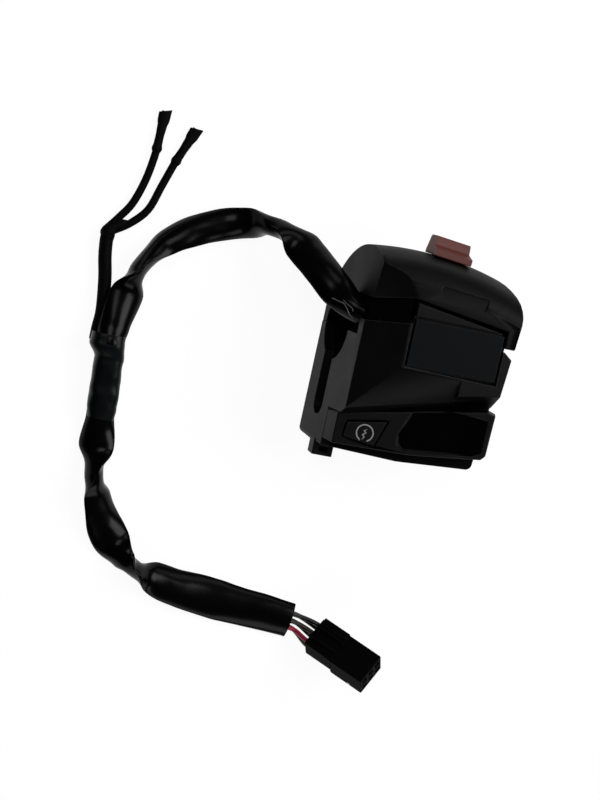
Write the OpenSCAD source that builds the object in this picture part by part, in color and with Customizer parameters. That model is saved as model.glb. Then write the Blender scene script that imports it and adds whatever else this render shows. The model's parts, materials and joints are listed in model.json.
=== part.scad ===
// Right-hand handlebar switch cluster: a two-shell case that clamps on the bar, a stop slider on
// its crown, a start button in a thumb ledge, and a sleeved harness that lies beside it.
// X runs along the handlebar towards its end, Y towards the stop slider, Z towards the rider.
// The origin is on the bar's axis at the middle of the clamp. Lengths are in millimetres.

/* [Handlebar clamp] */
// Diameter of the handlebar
bar_d = 22.2; // [21.8:0.1:22.6]
// Clearance of the clamp bore, on the diameter
bar_clear = 0.1; // [0:0.05:0.2]

/* [Case] */
// From the middle of the clamp to the inboard end, along the bar's axis
in_reach = 26; // [25.5:0.1:27]
// From the middle of the clamp to the outboard end, along the bar's axis
out_reach = 26.6; // [26:0.1:28]
// Draft of the inboard end towards the front, in degrees
end_draft = 6; // [5:0.5:7]
// Draft of the outboard end towards the front, in degrees
out_draft = 5; // [4:0.5:6]
// Lean of the outboard end towards the bottom, in degrees
end_lean = 4.5; // [3:0.5:5]
// From the bar's axis to the back face
back_depth = 15; // [15:0.1:16.5]
// From the bar's axis to the front panel
front_depth = 33; // [32.5:0.1:34]
// From the bar's axis to the bottom face
low_h = 38.5; // [38:0.1:40]
// Rise of the bottom face towards the outboard end, in degrees
bottom_rise = 6.5; // [5:0.5:7]
// Thickness of the shells
wall = 2.6; // [2.3:0.1:2.8]
// Thickness of the front panel
panel_wall = 3.4; // [3.2:0.1:3.8]
// Thickness of the end walls that hold the bar
end_wall = 3; // [2.6:0.1:3.4]
// Visible gap between the two shells at the front
shell_gap = 1.1; // [0.5:0.1:1.2]
// Width of the slot below the bar in the inboard end
slot_w = 8.6; // [7:0.2:9.6]
// From the bar's axis to the end of that slot
slot_reach = 30; // [27:0.5:32]

/* [Upper shell] */
// Height of the crown above the bar's axis
crown_h = 29.5; // [29.2:0.1:30.5]
// Radius of the crown, seen from the front
crown_r = 100; // [90:1:130]
// Radius of the arch, seen from the end
arch_r = 31; // [30:0.5:34]
// Radius that blends the arch into the front
brow_r = 9; // [7:0.5:11]
// Radius of the outboard shoulder
shoulder_r = 12; // [10:0.5:13]
// Depth of the bare label recess
label_depth = 0.5; // [0.3:0.1:0.8]

/* [Blank plate] */
// Width of the plate
plate_w = 29.5; // [27:0.5:30]
// Height of the plate
plate_h = 15; // [13:0.5:15.5]
// Thickness of the plate
plate_t = 1.8; // [1.4:0.1:2]
// Gap round the plate
plate_gap = 0.7; // [0.4:0.1:0.9]

/* [Thumb ledge] */
// Turn of the ledge towards the thumb, in degrees
ledge_tilt = 17.2; // [16:0.2:18]
// Front of the ledge at the middle of the case
ledge_z = 26; // [25.5:0.1:26.4]
// Thickness of the ledge
ledge_t = 9; // [8:0.1:9.5]
// Depth of the thumb scoop in the ledge
scoop_depth = 1.6; // [0.8:0.1:2.2]

/* [Start button] */
// How far the button stands out of the ledge
button_proud = 0.7; // [0.3:0.1:1.2]
// Travel of the button
button_travel = 2.5; // [1.5:0.1:2.5]
// Clearance round the button
button_clear = 0.35; // [0.3:0.05:0.5]

/* [Stop slider] */
// Length of the knob
knob_l = 12.4; // [11:0.2:13]
// Depth of the knob
knob_w = 12.5; // [11:0.2:13]
// Height of the knob
knob_h = 6; // [5:0.1:7]
// Travel of the slider
slide_travel = 8; // [6:0.5:8]

/* [Harness] */
// Diameter of the main sleeve
sleeve_d = 9; // [8:0.1:9]
// Diameter of the branch sleeve
branch_d = 4.4; // [3.6:0.1:4.4]
// Diameter of the branch leads
lead_d = 2.2; // [1.8:0.1:2.2]
// Diameter of the wires at the connector
wire_d = 1.6; // [1.2:0.1:1.8]

/* [Connector] */
// Length of the connector
conn_l = 24; // [20:0.5:28]
// Width of the connector
conn_w = 11.5; // [11:0.1:13]
// Height of the connector
conn_h = 9; // [8.6:0.1:10]

/* [Hidden] */
$fn = 48;

// Reach of a cut that passes through everything
far = 90;
// Running clearance of the sliding pieces, close fit of a screw in its hole, and a hair of overlap
run = 0.3;
fit = 0.1;
hair = 0.01;
bar_r = (bar_d + bar_clear) / 2;
table_z = -back_depth;

// Reach of the inboard end at a height z, and the corner facet beside the front panel
function in_w(z) = in_reach - z * tan(end_draft);
facet_x = -11.1;
facet_z = front_depth - 9;
// The step in the front edge between the shells: where it starts, how far back it goes, its height
step_x = -9.8;
step_end_x = 19.6;
step_z = front_depth - 13;
exit_z = front_depth - 23;
edge_low = 5;
edge_high = 7.4;

// Small vector helpers
function unit(v) = v / norm(v);
function side_of(a, b) = let (u = unit(b - a)) [-u[1], u[0]];
function cross2(a, b) = a[0] * b[1] - a[1] * b[0];
function meet(p, u, q, v) = p + u * cross2(q - p, v) / cross2(u, v);
// A polygon drawn counter-clockwise, with each edge moved in by its own distance
function inset(p, d) = [
  for (i = [0 : len(p) - 1])
    let (n = len(p), h = (i + n - 1) % n, j = (i + 1) % n, in_h = side_of(p[h], p[i]) * d[h],
      in_i = side_of(p[i], p[j]) * d[i])
    meet(p[h] + in_h, p[i] - p[h], p[i] + in_i, p[j] - p[i])
];
function arc(c, r, a, b, n) = [
  for (i = [0 : n])
    let (t = a + (b - a) * i / n)
    c + r * [cos(t), sin(t)]
];

// The case seen from above, as x and z, open at the outboard end: whole corners for the upper
// shell, a facet for the lower
plan_upper = [
  [-in_w(-back_depth), -back_depth], [far, -back_depth], [far, front_depth], [-in_w(front_depth), front_depth]
];
plan_lower = [
  plan_upper[0], plan_upper[1], plan_upper[2], [facet_x, front_depth], [-in_w(facet_z), facet_z]
];
back_wall = 3;
in_upper = inset(plan_upper, [back_wall, end_wall, wall, end_wall]);
in_lower = inset(plan_lower, [back_wall, end_wall, panel_wall, wall, end_wall]);

// Solids from a plan in x and z, and from a profile in y and z
module plan_prism(plan, low, high)
  translate([0, high, 0]) rotate([90, 0, 0]) linear_extrude(high - low) polygon(plan);
module along_x(length) rotate([90, 0, 90]) linear_extrude(length, center = true) children();
// Everything in front of a plane at place, turned from the XY plane
module in_front(place, turn, back = 0)
  translate(place) rotate(turn) translate([-far, -far, -back]) cube([2 * far, 2 * far, 2 * far]);
// Everything inboard of the outboard end face, which leans two ways, moved in by g
out_edge = out_reach * cos(out_draft);
module inside_end(g) rotate([0, -out_draft, 0]) translate([out_edge - g, 0, 0]) rotate(-end_lean)
  translate([-2 * far, -far, -far]) cube([2 * far, 2 * far, 2 * far]);
module bar_bore() rotate([0, 90, 0]) cylinder(h = 2 * far, r = bar_r, center = true, $fn = 96);

// Tubes swept along a list of points
function ring(p, t, r, n) = let (a = unit(cross([0, 0, 1], t)), b = cross(t, a))
  [for (i = [0 : n - 1]) p + r * (a * cos(360 * i / n) + b * sin(360 * i / n))];
function course(path, i) = unit(path[min(i + 1, len(path) - 1)] - path[max(i - 1, 0)]);
module tube_of(rings) {
  n = len(rings[0]);
  m = len(rings);
  sides = [
    for (k = [0 : m - 2], i = [0 : n - 1])
      let (a = k * n + i, b = k * n + (i + 1) % n) each [[a, a + n, b + n], [a, b + n, b]]
  ];
  polyhedron([for (r = rings) each r], concat(sides,
    [[for (i = [0 : n - 1]) i]], [[for (i = [0 : n - 1]) m * n - 1 - i]]));
}
module tube(path, d, n)
  tube_of([for (i = [0 : len(path) - 1]) ring(path[i], course(path, i), d / 2, n)]);
// A coil spring between two heights on the Z axis
module coil(low, high, mean_r, wire, turns)
  let (steps = turns * 8, rise = (high - low - wire) / steps)
  tube_of([
    for (i = [0 : steps])
      let (a = 360 * i / 8, c = [mean_r * cos(a), mean_r * sin(a), low + wire / 2 + rise * i],
        t = unit([-mean_r * sin(a) * 2 * PI / 8, mean_r * cos(a) * 2 * PI / 8, rise]))
      ring(c, t, wire / 2, 6)
  ]);
// A screw along +Z: its head is below z = 0, its shank above, with a cross in the head
module screw(d, length, head_d, head_h) difference() {
  union() {
    translate([0, 0, -head_h / 2]) cylinder(h = length + head_h / 2, d = d);
    translate([0, 0, -head_h]) cylinder(h = head_h, d = head_d);
  }
  for (a = [0, 90]) rotate(a) translate([0, 0, -head_h])
    cube([head_d * 0.62, head_d * 0.16, head_h], center = true);
}

// Upper shell: crown and arch as one turned form, cut to the case's plan and rounded shoulder
crown_x = -9;
arch_z = arch_r - back_depth - 1;
brow_z = front_depth - brow_r;
brow_y = crown_h - arch_r + sqrt(pow(arch_r - brow_r, 2) - pow(brow_z - arch_z, 2));
shoulder_h = 14;
shoulder_x = out_edge + shoulder_h * tan(end_lean) - shoulder_r / cos(end_lean);
shoulder_run = shoulder_x - crown_x - arch_z * tan(out_draft);
shoulder_mid = [
  shoulder_x, crown_h - crown_r + sqrt(pow(crown_r - shoulder_r, 2) - pow(shoulder_run, 2))
];
facet_corner = [-in_w(front_depth - 2), 26.2, front_depth - 2];
facet_turn = [14.5, -20.7, 0];
label_size = [15.5, 3.9];
label_at = [4.6, 17.8];
label_turn = -5.5;

// The dome's section, as distance from the crown's axis and z: arch, brow and what is under them
module arch_section(t) {
  r = crown_r - crown_h;
  middle = [r + crown_h - arch_r, arch_z];
  brow = [r + brow_y, brow_z];
  out = unit(brow - middle);
  top = middle[1] + (r - middle[0]) * out[1] / out[0];
  intersection() {
    translate(middle) circle(r = arch_r - t, $fn = 180);
    polygon([[r, -far], [r, top], middle + out * 2 * arch_r, [r + 2 * arch_r, -far]]);
  }
  translate(brow) circle(r = brow_r - t, $fn = 96);
  polygon([[r, 0], brow + [-4, -4], brow, [brow[0], front_depth - t], [r, front_depth - t]]);
}
module dome(t) intersection() {
  translate([crown_x, crown_h - crown_r, 0]) rotate(58) rotate_extrude(angle = 64, $fn = 240)
    arch_section(t);
  rotate([0, -out_draft, 0]) linear_extrude(2 * far, center = true) shoulder_outline(t);
}
// The outboard shoulder leans with the end face, and runs out into the crown at a small angle
shoulder_top = 68;
shoulder_low = -9;
module shoulder_outline(t) {
  bend = arc(shoulder_mid, shoulder_r - t, -end_lean, shoulder_top, 7);
  last = bend[len(bend) - 1];
  foot = [out_edge - t / cos(end_lean) + shoulder_low * tan(end_lean), shoulder_low];
  polygon(concat([[-far, shoulder_low], foot], bend,
    [last + far * [-sin(shoulder_top), cos(shoulder_top)], [-far, last[1]]]));
}
module upper_facet(t) in_front(facet_corner, facet_turn, t);

// The front edge of the lower shell, as points in x and y, raised by g; its outboard corner is cut
// off, and the upper shell's is not
edge_right = 4.1;
notch = [[21, edge_right], [24.1, 1.8], [far, 1.8]];
function step_edge(g) = [
  [-far, edge_low + g], [-in_w(facet_z), edge_low + g], [step_x - g, edge_high + g], [step_x - g, 14 + g],
  [step_end_x + g, 9.6 + g], [step_end_x + g, edge_right + g]
];
module above_step(start) translate([0, 0, start]) linear_extrude(far)
  polygon(concat(step_edge(0), notch, [[far, far], [-far, far]]));
module below_step(g, start) translate([0, 0, start]) linear_extrude(far)
  polygon(concat(step_edge(g), [[far, edge_right + g], [far, -far], [-far, -far]]));
// The harness window at the inboard front corner, under the upper shell's facet
window_x = step_x - shell_gap;
module exit_window() translate([0, 0, exit_z]) linear_extrude(far)
  polygon([[-far, -1], [window_x, -1], [window_x, 15.2], [-in_w(front_depth), 12.6], [-far, 12]]);

// Screws that close the case run along Y, behind the front panel
screw_at = [[-6.5, front_depth - 15.5], [16.4, front_depth - 16.4]];
screw_d = 4;
screw_head_y = -low_h + 22.5;
insert_l = 8;
insert_d = 5.8;
boss_d = 9;
web_top = 16.6;
web = [5, 2];
counterbore = screw_d + 4.2;
column_d = counterbore + 2.4;
column_low = screw_head_y - 4.5;
module at_screws() for (p = screw_at) translate([p[0], 0, p[1]]) rotate([-90, 0, 0]) children();

// Stop slider's own frame: x along its travel, y out of the crown
kill_x = 1.2;
kill_z = front_depth - 17;
kill_y = crown_h - crown_r + sqrt(pow(crown_r, 2) - pow(kill_x - crown_x, 2));
kill_turn = asin((kill_x - crown_x) / crown_r);
module at_kill() translate([kill_x, kill_y, kill_z]) rotate(-kill_turn) children();
function from_kill(p) = [
  kill_x + p[0] * cos(kill_turn) + p[1] * sin(kill_turn),
  kill_y - p[0] * sin(kill_turn) + p[1] * cos(kill_turn), kill_z + p[2]
];
neck = [6, 3.8];
neck_h = 2;
carrier = [12, 2.6, 11];
carrier_top = -wall - 2.3;
carrier_low = carrier_top - carrier[1];
contact_t = 0.5;
base_top = carrier_low - contact_t - 0.6;
base_t = 3.5;
base_low = base_top - base_t;
base_x = [-11, 6];
base_w = 22;
base_screw_at = [[-3.5, -8.6], [-3.5, 8.6]];
base_screw_d = 2.2;
base_screw_grip = 4;
ball_d = 2.5;
ball_y = base_top - 0.4 + ball_d / 2;
kill_pads = [[1, -4], [1, 4]];
pad = [3, 0.3];
// A switch tail's section and its length below the base
tail = [1.2, 0.7];
tail_l = 3;
kill_boss_d = 4.6;
clip_boss_d = 5.2;
// The lap that keys the two shells together at the back
lap = [40, 2, 1.2];
lap_z = -back_depth + 0.9;

module upper_case() color([0.045, 0.046, 0.048]) difference() {
  union() {
    difference() {
      upper_outer();
      upper_cavity();
    }
    intersection() {
      upper_outer();
      upper_bosses();
    }
  }
  bar_bore();
  below_step(shell_gap, step_z);
  exit_window();
  translate([-lap[0] / 2 - fit, -hair, lap_z - fit])
    cube([lap[0] + 2 * fit, lap[1] + 2 * fit, lap[2] + 2 * fit]);
  at_screws() translate([0, 0, -1]) cylinder(h = insert_l + 1.6, d = insert_d);
  at_screws() cylinder(h = insert_l + 4, d = screw_d + 2 * fit);
  at_kill() translate([-slide_travel / 2, 0, 0])
    cube([neck[0] + slide_travel + 2 * run, 4 * wall, neck[1] + 2 * run], center = true);
  at_kill() for (p = base_screw_at) translate([p[0], base_top - hair, p[1]]) rotate([-90, 0, 0])
    cylinder(h = base_screw_grip + 2 * run, d = base_screw_d + 2 * fit);
  translate([label_at[0], label_at[1], front_depth - label_depth]) rotate(label_turn)
    translate([-label_size[0] / 2, -label_size[1] / 2, 0]) cube([label_size[0], label_size[1], far]);
  clip_boss_frame() translate([0, 0, -hair]) cylinder(h = clip_screw_l, d = clip_screw_d + 2 * fit);
}
module upper_outer() difference() {
  intersection() {
    dome(0);
    plan_prism(plan_upper, 0, far);
  }
  upper_facet(0);
}
module upper_cavity() difference() {
  intersection() {
    dome(wall);
    plan_prism(in_upper, -1, far);
  }
  upper_facet(wall);
}
module upper_bosses() {
  // The inboard boss hangs from the front on a web, the outboard one runs into the shoulder
  translate([screw_at[0][0], 0, screw_at[0][1]]) rotate([-90, 0, 0]) cylinder(h = web_top, d = boss_d);
  translate([screw_at[0][0] - boss_d / 2, web_top - web[1], screw_at[0][1]])
    cube([web[0], web[1], front_depth]);
  translate([screw_at[1][0], 0, screw_at[1][1]]) rotate([-90, 0, 0]) cylinder(h = crown_h, d = boss_d);
  at_kill() for (p = base_screw_at) translate([p[0], base_top, p[1]]) rotate([-90, 0, 0])
    cylinder(h = -base_top - wall, d = kill_boss_d);
  clip_boss_frame() cylinder(h = crown_h - clip_boss_at[1], d = clip_boss_d);
}

// Thumb ledge's own frame: x along the ledge, y up from the case's bottom, z out of its front
module at_ledge() translate([0, -low_h, ledge_z]) rotate([0, -ledge_tilt, 0]) children();
function from_ledge(p) = [
  p[0] * cos(ledge_tilt) - p[2] * sin(ledge_tilt), p[1] - low_h,
  ledge_z + p[0] * sin(ledge_tilt) + p[2] * cos(ledge_tilt)
];
ledge_rise = 13;
ledge_top = 18.3;
ledge_right = 23.8;
ledge_foot = [[-40, 1.7], [0, 4], [22.1, 7.5]];
ledge_round = [1.4, 2.6];
ramp_at = [23.3, -9.9, front_depth];
ramp_rise = 10;
ramp_lean = 60;
// The relief above the ledge slopes from just below the plate, and ends at a tab of the panel
relief_lean = 29;
relief_top = -7.3;
tab_x = 9;
// Everything below the ledge's top edge, moved up by g
module below_ledge_top(g) translate([0, ledge_top - low_h + g, 0]) rotate(ledge_rise)
  translate([-far, -2 * far, -far]) cube([2 * far, 2 * far, 2 * far]);
// What the ramp and the ledge's pocket take off the lower shell, grown by g
module front_cut(g) intersection() {
  at_ledge() translate([-far, -far, -ledge_t - g]) cube([2 * far, 2 * far, 2 * far]);
  union() {
    in_front(ramp_at, [ramp_lean, 0, ramp_rise], g);
    below_ledge_top(g);
    intersection() {
      in_front([0, relief_top, front_depth], [relief_lean, 0, 0], g);
      translate([tab_x + g - 2 * far, -far, -far]) cube([2 * far, 2 * far, 2 * far]);
    }
  }
}
// Everything below the bottom face, moved up by g: it is level, then rises to the outboard end
rise_x = -1.5;
module under_bottom(g) linear_extrude(2 * far, center = true) polygon([
  [-far, g - low_h], [rise_x, g - low_h], [far, g - low_h + (far - rise_x) * tan(bottom_rise)],
  [far, -far], [-far, -far]
]);

// The plate's pocket, and the window behind it for its clips
plate_at = [5.2, 1.5];
plate_seat = 1.6;
plate_clip = [4, 1.3, 1.8];
clip_hook = 0.8;
slot_z = -1.9;
rib_x = 8;
rib = [2.4, 16];
lug = [7, 4.3, 6];
lug_hole = [2.8, 1.6, 4.2];

module lower_case() color([0.045, 0.046, 0.048]) difference() {
  union() {
    difference() {
      lower_outer();
      lower_cavity();
    }
    intersection() {
      lower_outer();
      lower_ribs();
    }
    translate([-lap[0] / 2, -hair, lap_z]) cube(lap);
    difference() {
      translate([-in_w(0), -low_h - lug[1], -lug[2] / 2]) cube([lug[0], lug[1] + 1, lug[2]]);
      translate([-in_w(0) + 2.2, -low_h - lug[1] + 1.4, lug[2] / 2 - lug_hole[2]])
        cube([lug_hole[0], lug_hole[1], lug[2]]);
    }
  }
  bar_bore();
  // The slot below the bar, through the inboard end wall only
  translate([-far, -slot_reach + slot_w / 2, slot_z - slot_w / 2])
    cube([far - in_w(0) + end_wall + 2, slot_reach, slot_w]);
  translate([-far, -slot_reach + slot_w / 2, slot_z]) rotate([0, 90, 0])
    cylinder(h = far - in_w(0) + end_wall + 2, d = slot_w);
  // Pocket and window of the blank plate
  translate([plate_at[0], plate_at[1], front_depth])
    cube([plate_w + 2 * plate_gap, plate_h + 2 * plate_gap, 2 * plate_t], center = true);
  translate([plate_at[0], plate_at[1], front_depth])
    cube([plate_w - 2 * plate_seat, plate_h - 2 * plate_seat, 4 * panel_wall], center = true);
  at_screws() translate([0, 0, column_low - 2])
    cylinder(h = screw_head_y - column_low + 2, d = counterbore);
  translate([screw_at[1][0], -far, screw_at[1][1]]) rotate([-90, 0, 0])
    cylinder(h = far + screw_head_y, d = counterbore);
  at_screws() translate([0, 0, screw_head_y - 1]) cylinder(h = far, d = screw_d + 2 * fit);
  // The start switch's way through the pocket, and the ledge's screw holes
  at_ledge() translate([0, 0, -ledge_t - 2 * wall]) linear_extrude(3 * wall) polygon(start_way);
  at_ledge() for (p = ledge_screw_at) translate([p[0], p[1], -ledge_t - 2 * wall])
    cylinder(h = 3 * wall, d = ledge_screw_d + 2 * fit);
}
module lower_outer() difference() {
  intersection() {
    plan_prism(plan_lower, -far, 20);
    inside_end(0);
  }
  under_bottom(0);
  translate([-far, 0, -far]) cube([2 * far, far, far + step_z]);
  above_step(step_z - 1);
  front_cut(0);
}
module lower_cavity() difference() {
  intersection() {
    plan_prism(in_lower, -far, far);
    inside_end(end_wall);
  }
  under_bottom(wall);
  front_cut(wall);
}
module lower_ribs() {
  translate([screw_at[0][0], column_low, screw_at[0][1]]) rotate([-90, 0, 0])
    cylinder(h = -column_low, d = column_d);
  translate([screw_at[1][0], -low_h, screw_at[1][1]]) rotate([-90, 0, 0])
    cylinder(h = low_h, d = column_d);
  translate([rib_x, 0, 0]) along_x(rib[0])
    polygon([[0, -back_depth], [-rib[1], -back_depth], [-rib[1], rib[1]], [0, rib[1]]]);
}

module case_screws() color([0.62, 0.62, 0.6]) at_screws() translate([0, 0, screw_head_y])
  screw(screw_d, insert_l - screw_head_y, screw_d + 3, 2.6);
module case_inserts() color([0.72, 0.56, 0.25]) at_screws() difference() {
  translate([0, 0, 0.2]) cylinder(h = insert_l, d = insert_d - 2 * fit);
  translate([0, 0, -1]) cylinder(h = insert_l + 4, d = screw_d + 2 * fit);
}

module blank_plate() color([0.05, 0.053, 0.06]) translate([plate_at[0], plate_at[1], front_depth]) {
  hook_z = -panel_wall - plate_clip[2];
  translate([-plate_w / 2, -plate_h / 2, -plate_t]) cube([plate_w, plate_h, plate_t]);
  for (x = [-plate_w / 3, plate_w / 3], s = [-1, 1]) {
    edge = s * (plate_h / 2 - plate_seat - fit);
    translate([x - plate_clip[0] / 2, s > 0 ? edge - plate_clip[1] : edge, hook_z])
      cube([plate_clip[0], plate_clip[1], -hook_z - plate_t + hair]);
    translate([x - plate_clip[0] / 2, s > 0 ? edge - plate_clip[1] : edge - clip_hook, hook_z])
      cube([plate_clip[0], plate_clip[1] + clip_hook, plate_clip[2] - fit]);
  }
}

// Harness: where it enters the case, and the line that it takes through the grommet
inner_end = [-16, 5.2, front_depth - 16.5];
outer_end = [-25, 7.7, front_depth - 18.1];
entry = unit(outer_end - inner_end);
entry_side = unit(cross([0, 1, 0], entry));
entry_up = cross(entry, entry_side);
module along_entry(reach) translate(inner_end - entry * reach)
  rotate([0, acos(entry[2]), atan2(entry[1], entry[0])]) children();
grommet_lip = 1;
grommet_t = 2.4;
grommet_gap = 0.3;
module wire_grommet() color([0.03, 0.03, 0.032]) difference() {
  intersection() {
    difference() {
      plan_prism(inset(plan_lower, [1, 1, 1, 1, 1] * grommet_lip), grommet_gap, far);
      plan_prism(inset(plan_lower, [1, 1, 1, 1, 1] * (grommet_lip + grommet_t)), -1, far);
    }
    union() {
      translate([-far, 0, exit_z + grommet_gap])
        cube([far, edge_high, step_z - exit_z - 2 * grommet_gap]);
      translate([0, 0, exit_z + grommet_gap]) linear_extrude(far) polygon([
        [-far, edge_low + grommet_gap], [-in_w(facet_z), edge_low + grommet_gap],
        [step_x, edge_high + grommet_gap], [step_x, far], [-far, far]
      ]);
    }
    translate([-grommet_gap, -grommet_gap, 0]) exit_window();
  }
  rotate([0, 90, 0]) cylinder(h = 2 * far, r = bar_r + 2 * run, center = true, $fn = 96);
  along_entry(far) cylinder(h = 2 * far, d = sleeve_d + 2 * fit);
}

// Clip that holds the sleeve inside the case, on a boss of the upper shell
clip_at = 0.2;
clip_l = 2.2;
clip_ring = 1.2;
clip_screw_d = 2.6;
clip_screw_l = 6.5;
clip_tab = [clip_boss_d, 1.8, 8.4];
clip_strap = [2.2, 3];
clip_boss_at = [-17, 15.4, front_depth - 12.2];
clip_tab_at = [
  clip_boss_at[0] - clip_tab[0] / 2, clip_boss_at[1] - clip_tab[1],
  clip_boss_at[2] + clip_tab[0] / 2 - clip_tab[2]
];
strap_low = inner_end[1] + sleeve_d / 2;
module clip_boss_frame() translate(clip_boss_at) rotate([-90, 0, 0]) children();
module harness_clamp() color([0.5, 0.5, 0.5]) difference() {
  union() {
    along_entry(-clip_at) cylinder(h = clip_l, d = sleeve_d + 2 * fit + 2 * clip_ring);
    translate(clip_tab_at) cube(clip_tab);
    translate([clip_tab_at[0] + clip_strap[0], strap_low, clip_tab_at[2]])
      cube([clip_strap[0], clip_boss_at[1] - strap_low, clip_strap[1]]);
  }
  along_entry(far) cylinder(h = 2 * far, d = sleeve_d + 2 * fit);
  clip_boss_frame() translate([0, 0, -2 * clip_tab[1]])
    cylinder(h = 3 * clip_tab[1], d = clip_screw_d + 2 * fit);
}
module clamp_screw() color([0.62, 0.62, 0.6]) clip_boss_frame() translate([0, 0, -clip_tab[1]])
  screw(clip_screw_d, clip_screw_l, clip_screw_d * 1.9, 1.8);

// Stop slider
knob_back = -6.5;
knob_lip = 0.6;
module kill_knob() color([0.36, 0.1, 0.09]) at_kill() difference() {
  intersection() {
    along_x(knob_l) polygon([
      [-1, knob_back], [knob_h - knob_lip, knob_back], [knob_h, knob_back + knob_lip], [knob_h, 0.2],
      [knob_h - 0.4, 0.8], [knob_h / 2, 1.2], [knob_h / 3.6, knob_back + knob_w], [-1, knob_back + knob_w]
    ]);
    linear_extrude(far, center = true) polygon([
      [-knob_l / 2, -1], [knob_l / 2, -1], [knob_l / 2, 1], [knob_l / 2 - knob_lip, knob_h + 1],
      [-knob_l / 2 + knob_lip, knob_h + 1], [-knob_l / 2, 1]
    ]);
  }
  translate([0, -arch_r, arch_z - kill_z]) rotate([0, 90, 0])
    cylinder(h = far, r = arch_r + run + fit / 2, center = true, $fn = 240);
  translate([-neck[0] / 2 - fit / 2, -1, -neck[1] / 2 - fit / 2])
    cube([neck[0] + fit, neck_h + 1 + fit, neck[1] + fit]);
}
module kill_carrier() color([0.75, 0.74, 0.7]) at_kill() difference() {
  union() {
    translate([-carrier[0] / 2, carrier_low, -carrier[2] / 2]) cube(carrier);
    translate([-neck[0] / 2, carrier_low, -neck[1] / 2]) cube([neck[0], neck_h - carrier_low, neck[1]]);
  }
  translate([0, carrier_low - 1, 0]) rotate([-90, 0, 0])
    cylinder(h = neck_h - carrier_low, d = ball_d + fit);
}
contact_w = 10;
module kill_contact() color([0.72, 0.45, 0.2]) at_kill() difference() {
  translate([-contact_w / 2, carrier_low - contact_t, -contact_w / 2]) cube([contact_w, contact_t, contact_w]);
  translate([0, carrier_low - 1, 0]) rotate([-90, 0, 0]) cylinder(h = 2, d = ball_d + 1);
}
module detent_ball() color([0.7, 0.7, 0.7]) at_kill() translate([0, ball_y, 0]) sphere(d = ball_d, $fn = 32);
module detent_spring() color([0.6, 0.6, 0.6]) at_kill() rotate([-90, 0, 0])
  coil(ball_y + ball_d / 2 + 0.05, neck_h - 1.05, 0.9, 0.35, 7);
module kill_base() color([0.2, 0.18, 0.15]) at_kill() difference() {
  translate([base_x[0], base_low, -base_w / 2]) cube([base_x[1] - base_x[0], base_t, base_w]);
  translate([-slide_travel - ball_d / 2 - run, base_top - 0.8, -ball_d / 2 - run])
    cube([slide_travel + ball_d + 2 * run, 2, ball_d + 2 * run]);
  for (p = base_screw_at) translate([p[0], base_low - 1, p[1]]) rotate([-90, 0, 0])
    cylinder(h = 2 * base_t, d = base_screw_d + 2 * fit);
  for (p = kill_pads) translate([p[0] - tail[0] / 2, base_low - 1, p[1] - tail[1] / 2])
    cube([tail[0], 2 * base_t, tail[1]]);
}
module kill_terminals() color([0.72, 0.56, 0.25]) at_kill() for (p = kill_pads) {
  translate([p[0] - pad[0] / 2, base_top, p[1] - pad[0] / 2]) cube([pad[0], pad[1], pad[0]]);
  translate([p[0] - tail[0] / 2, base_low - tail_l, p[1] - tail[1] / 2])
    cube([tail[0], base_t + tail_l + hair, tail[1]]);
}
module kill_base_screws() color([0.62, 0.62, 0.6]) at_kill() for (p = base_screw_at)
  translate([p[0], base_low, p[1]]) rotate([-90, 0, 0])
    screw(base_screw_d, base_t + base_screw_grip, base_screw_d * 1.9, 1.5);

// Start button: its outline on the ledge, as x and y in the ledge's frame
button_mid = [-15.6, 8.2];
button = [[-22, 5.6], [-11.9, 4.6], [-9.2, 12.9], [-21.6, 10.3]];
// The flange behind the button grows its right, top and left edges, and keeps it in the ledge
flange_out = [0, 0.5, 1, 1];
flange_t = 1.4;
flange_top = -ledge_t - 0.1;
flange_low = flange_top - flange_t;
stem_d = 3.2;
well_d = 6.6;
well_low = flange_low - 6;
holder_top = flange_low - button_travel - 0.5;
guide_low = well_low - 1.6;
bridge = [9.2, 3.6, 0.6];
bridge_top = guide_low - 1.2;
bridge_low = bridge_top - bridge[2];
bridge_room = 0.6;
start_pad = [2.4, 0.4];
start_pad_top = bridge_low - button_travel - run;
start_pad_low = start_pad_top - start_pad[1];
holder_low = start_pad_top - 2.6;
holder = [12.6, 7.2];
start_pads = [-3.4, 3.4];
arm = [12.6, 2, 3];
arm_low = holder_top - arm[2];
arm_posts = [[11, -0.6], [11, 5.2]];
post_d = 4.2;
post_screw_d = 2.2;
ledge_screw_at = [[1.6, 14.5], [4.6, 9.6]];
ledge_screw_d = 2.6;
ledge_grip = 4.6;
start_way = [[-23.6, 4.5], [-11, 4.2], [-9.6, 5.2], [-1.6, 5.3], [-1.6, 16.7], [-23.6, 11.2]];
scoop = [[-0.7, 20.5], [-5.1, 9.6], [-4.6, 6.6], [-2.4, 5], [19, 7.9], [22, 9.8], [22, 20.5]];
// The scoop's floor is level, then sweeps up to the front of the ledge
sweep_x = [8, 22];
sweep_r = (pow(sweep_x[1] - sweep_x[0], 2) + pow(scoop_depth, 2)) / (2 * scoop_depth);
sweep_angle = asin((sweep_x[1] - sweep_x[0]) / sweep_r);
module at_start() at_ledge() translate([button_mid[0], button_mid[1], 0]) children();

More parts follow.
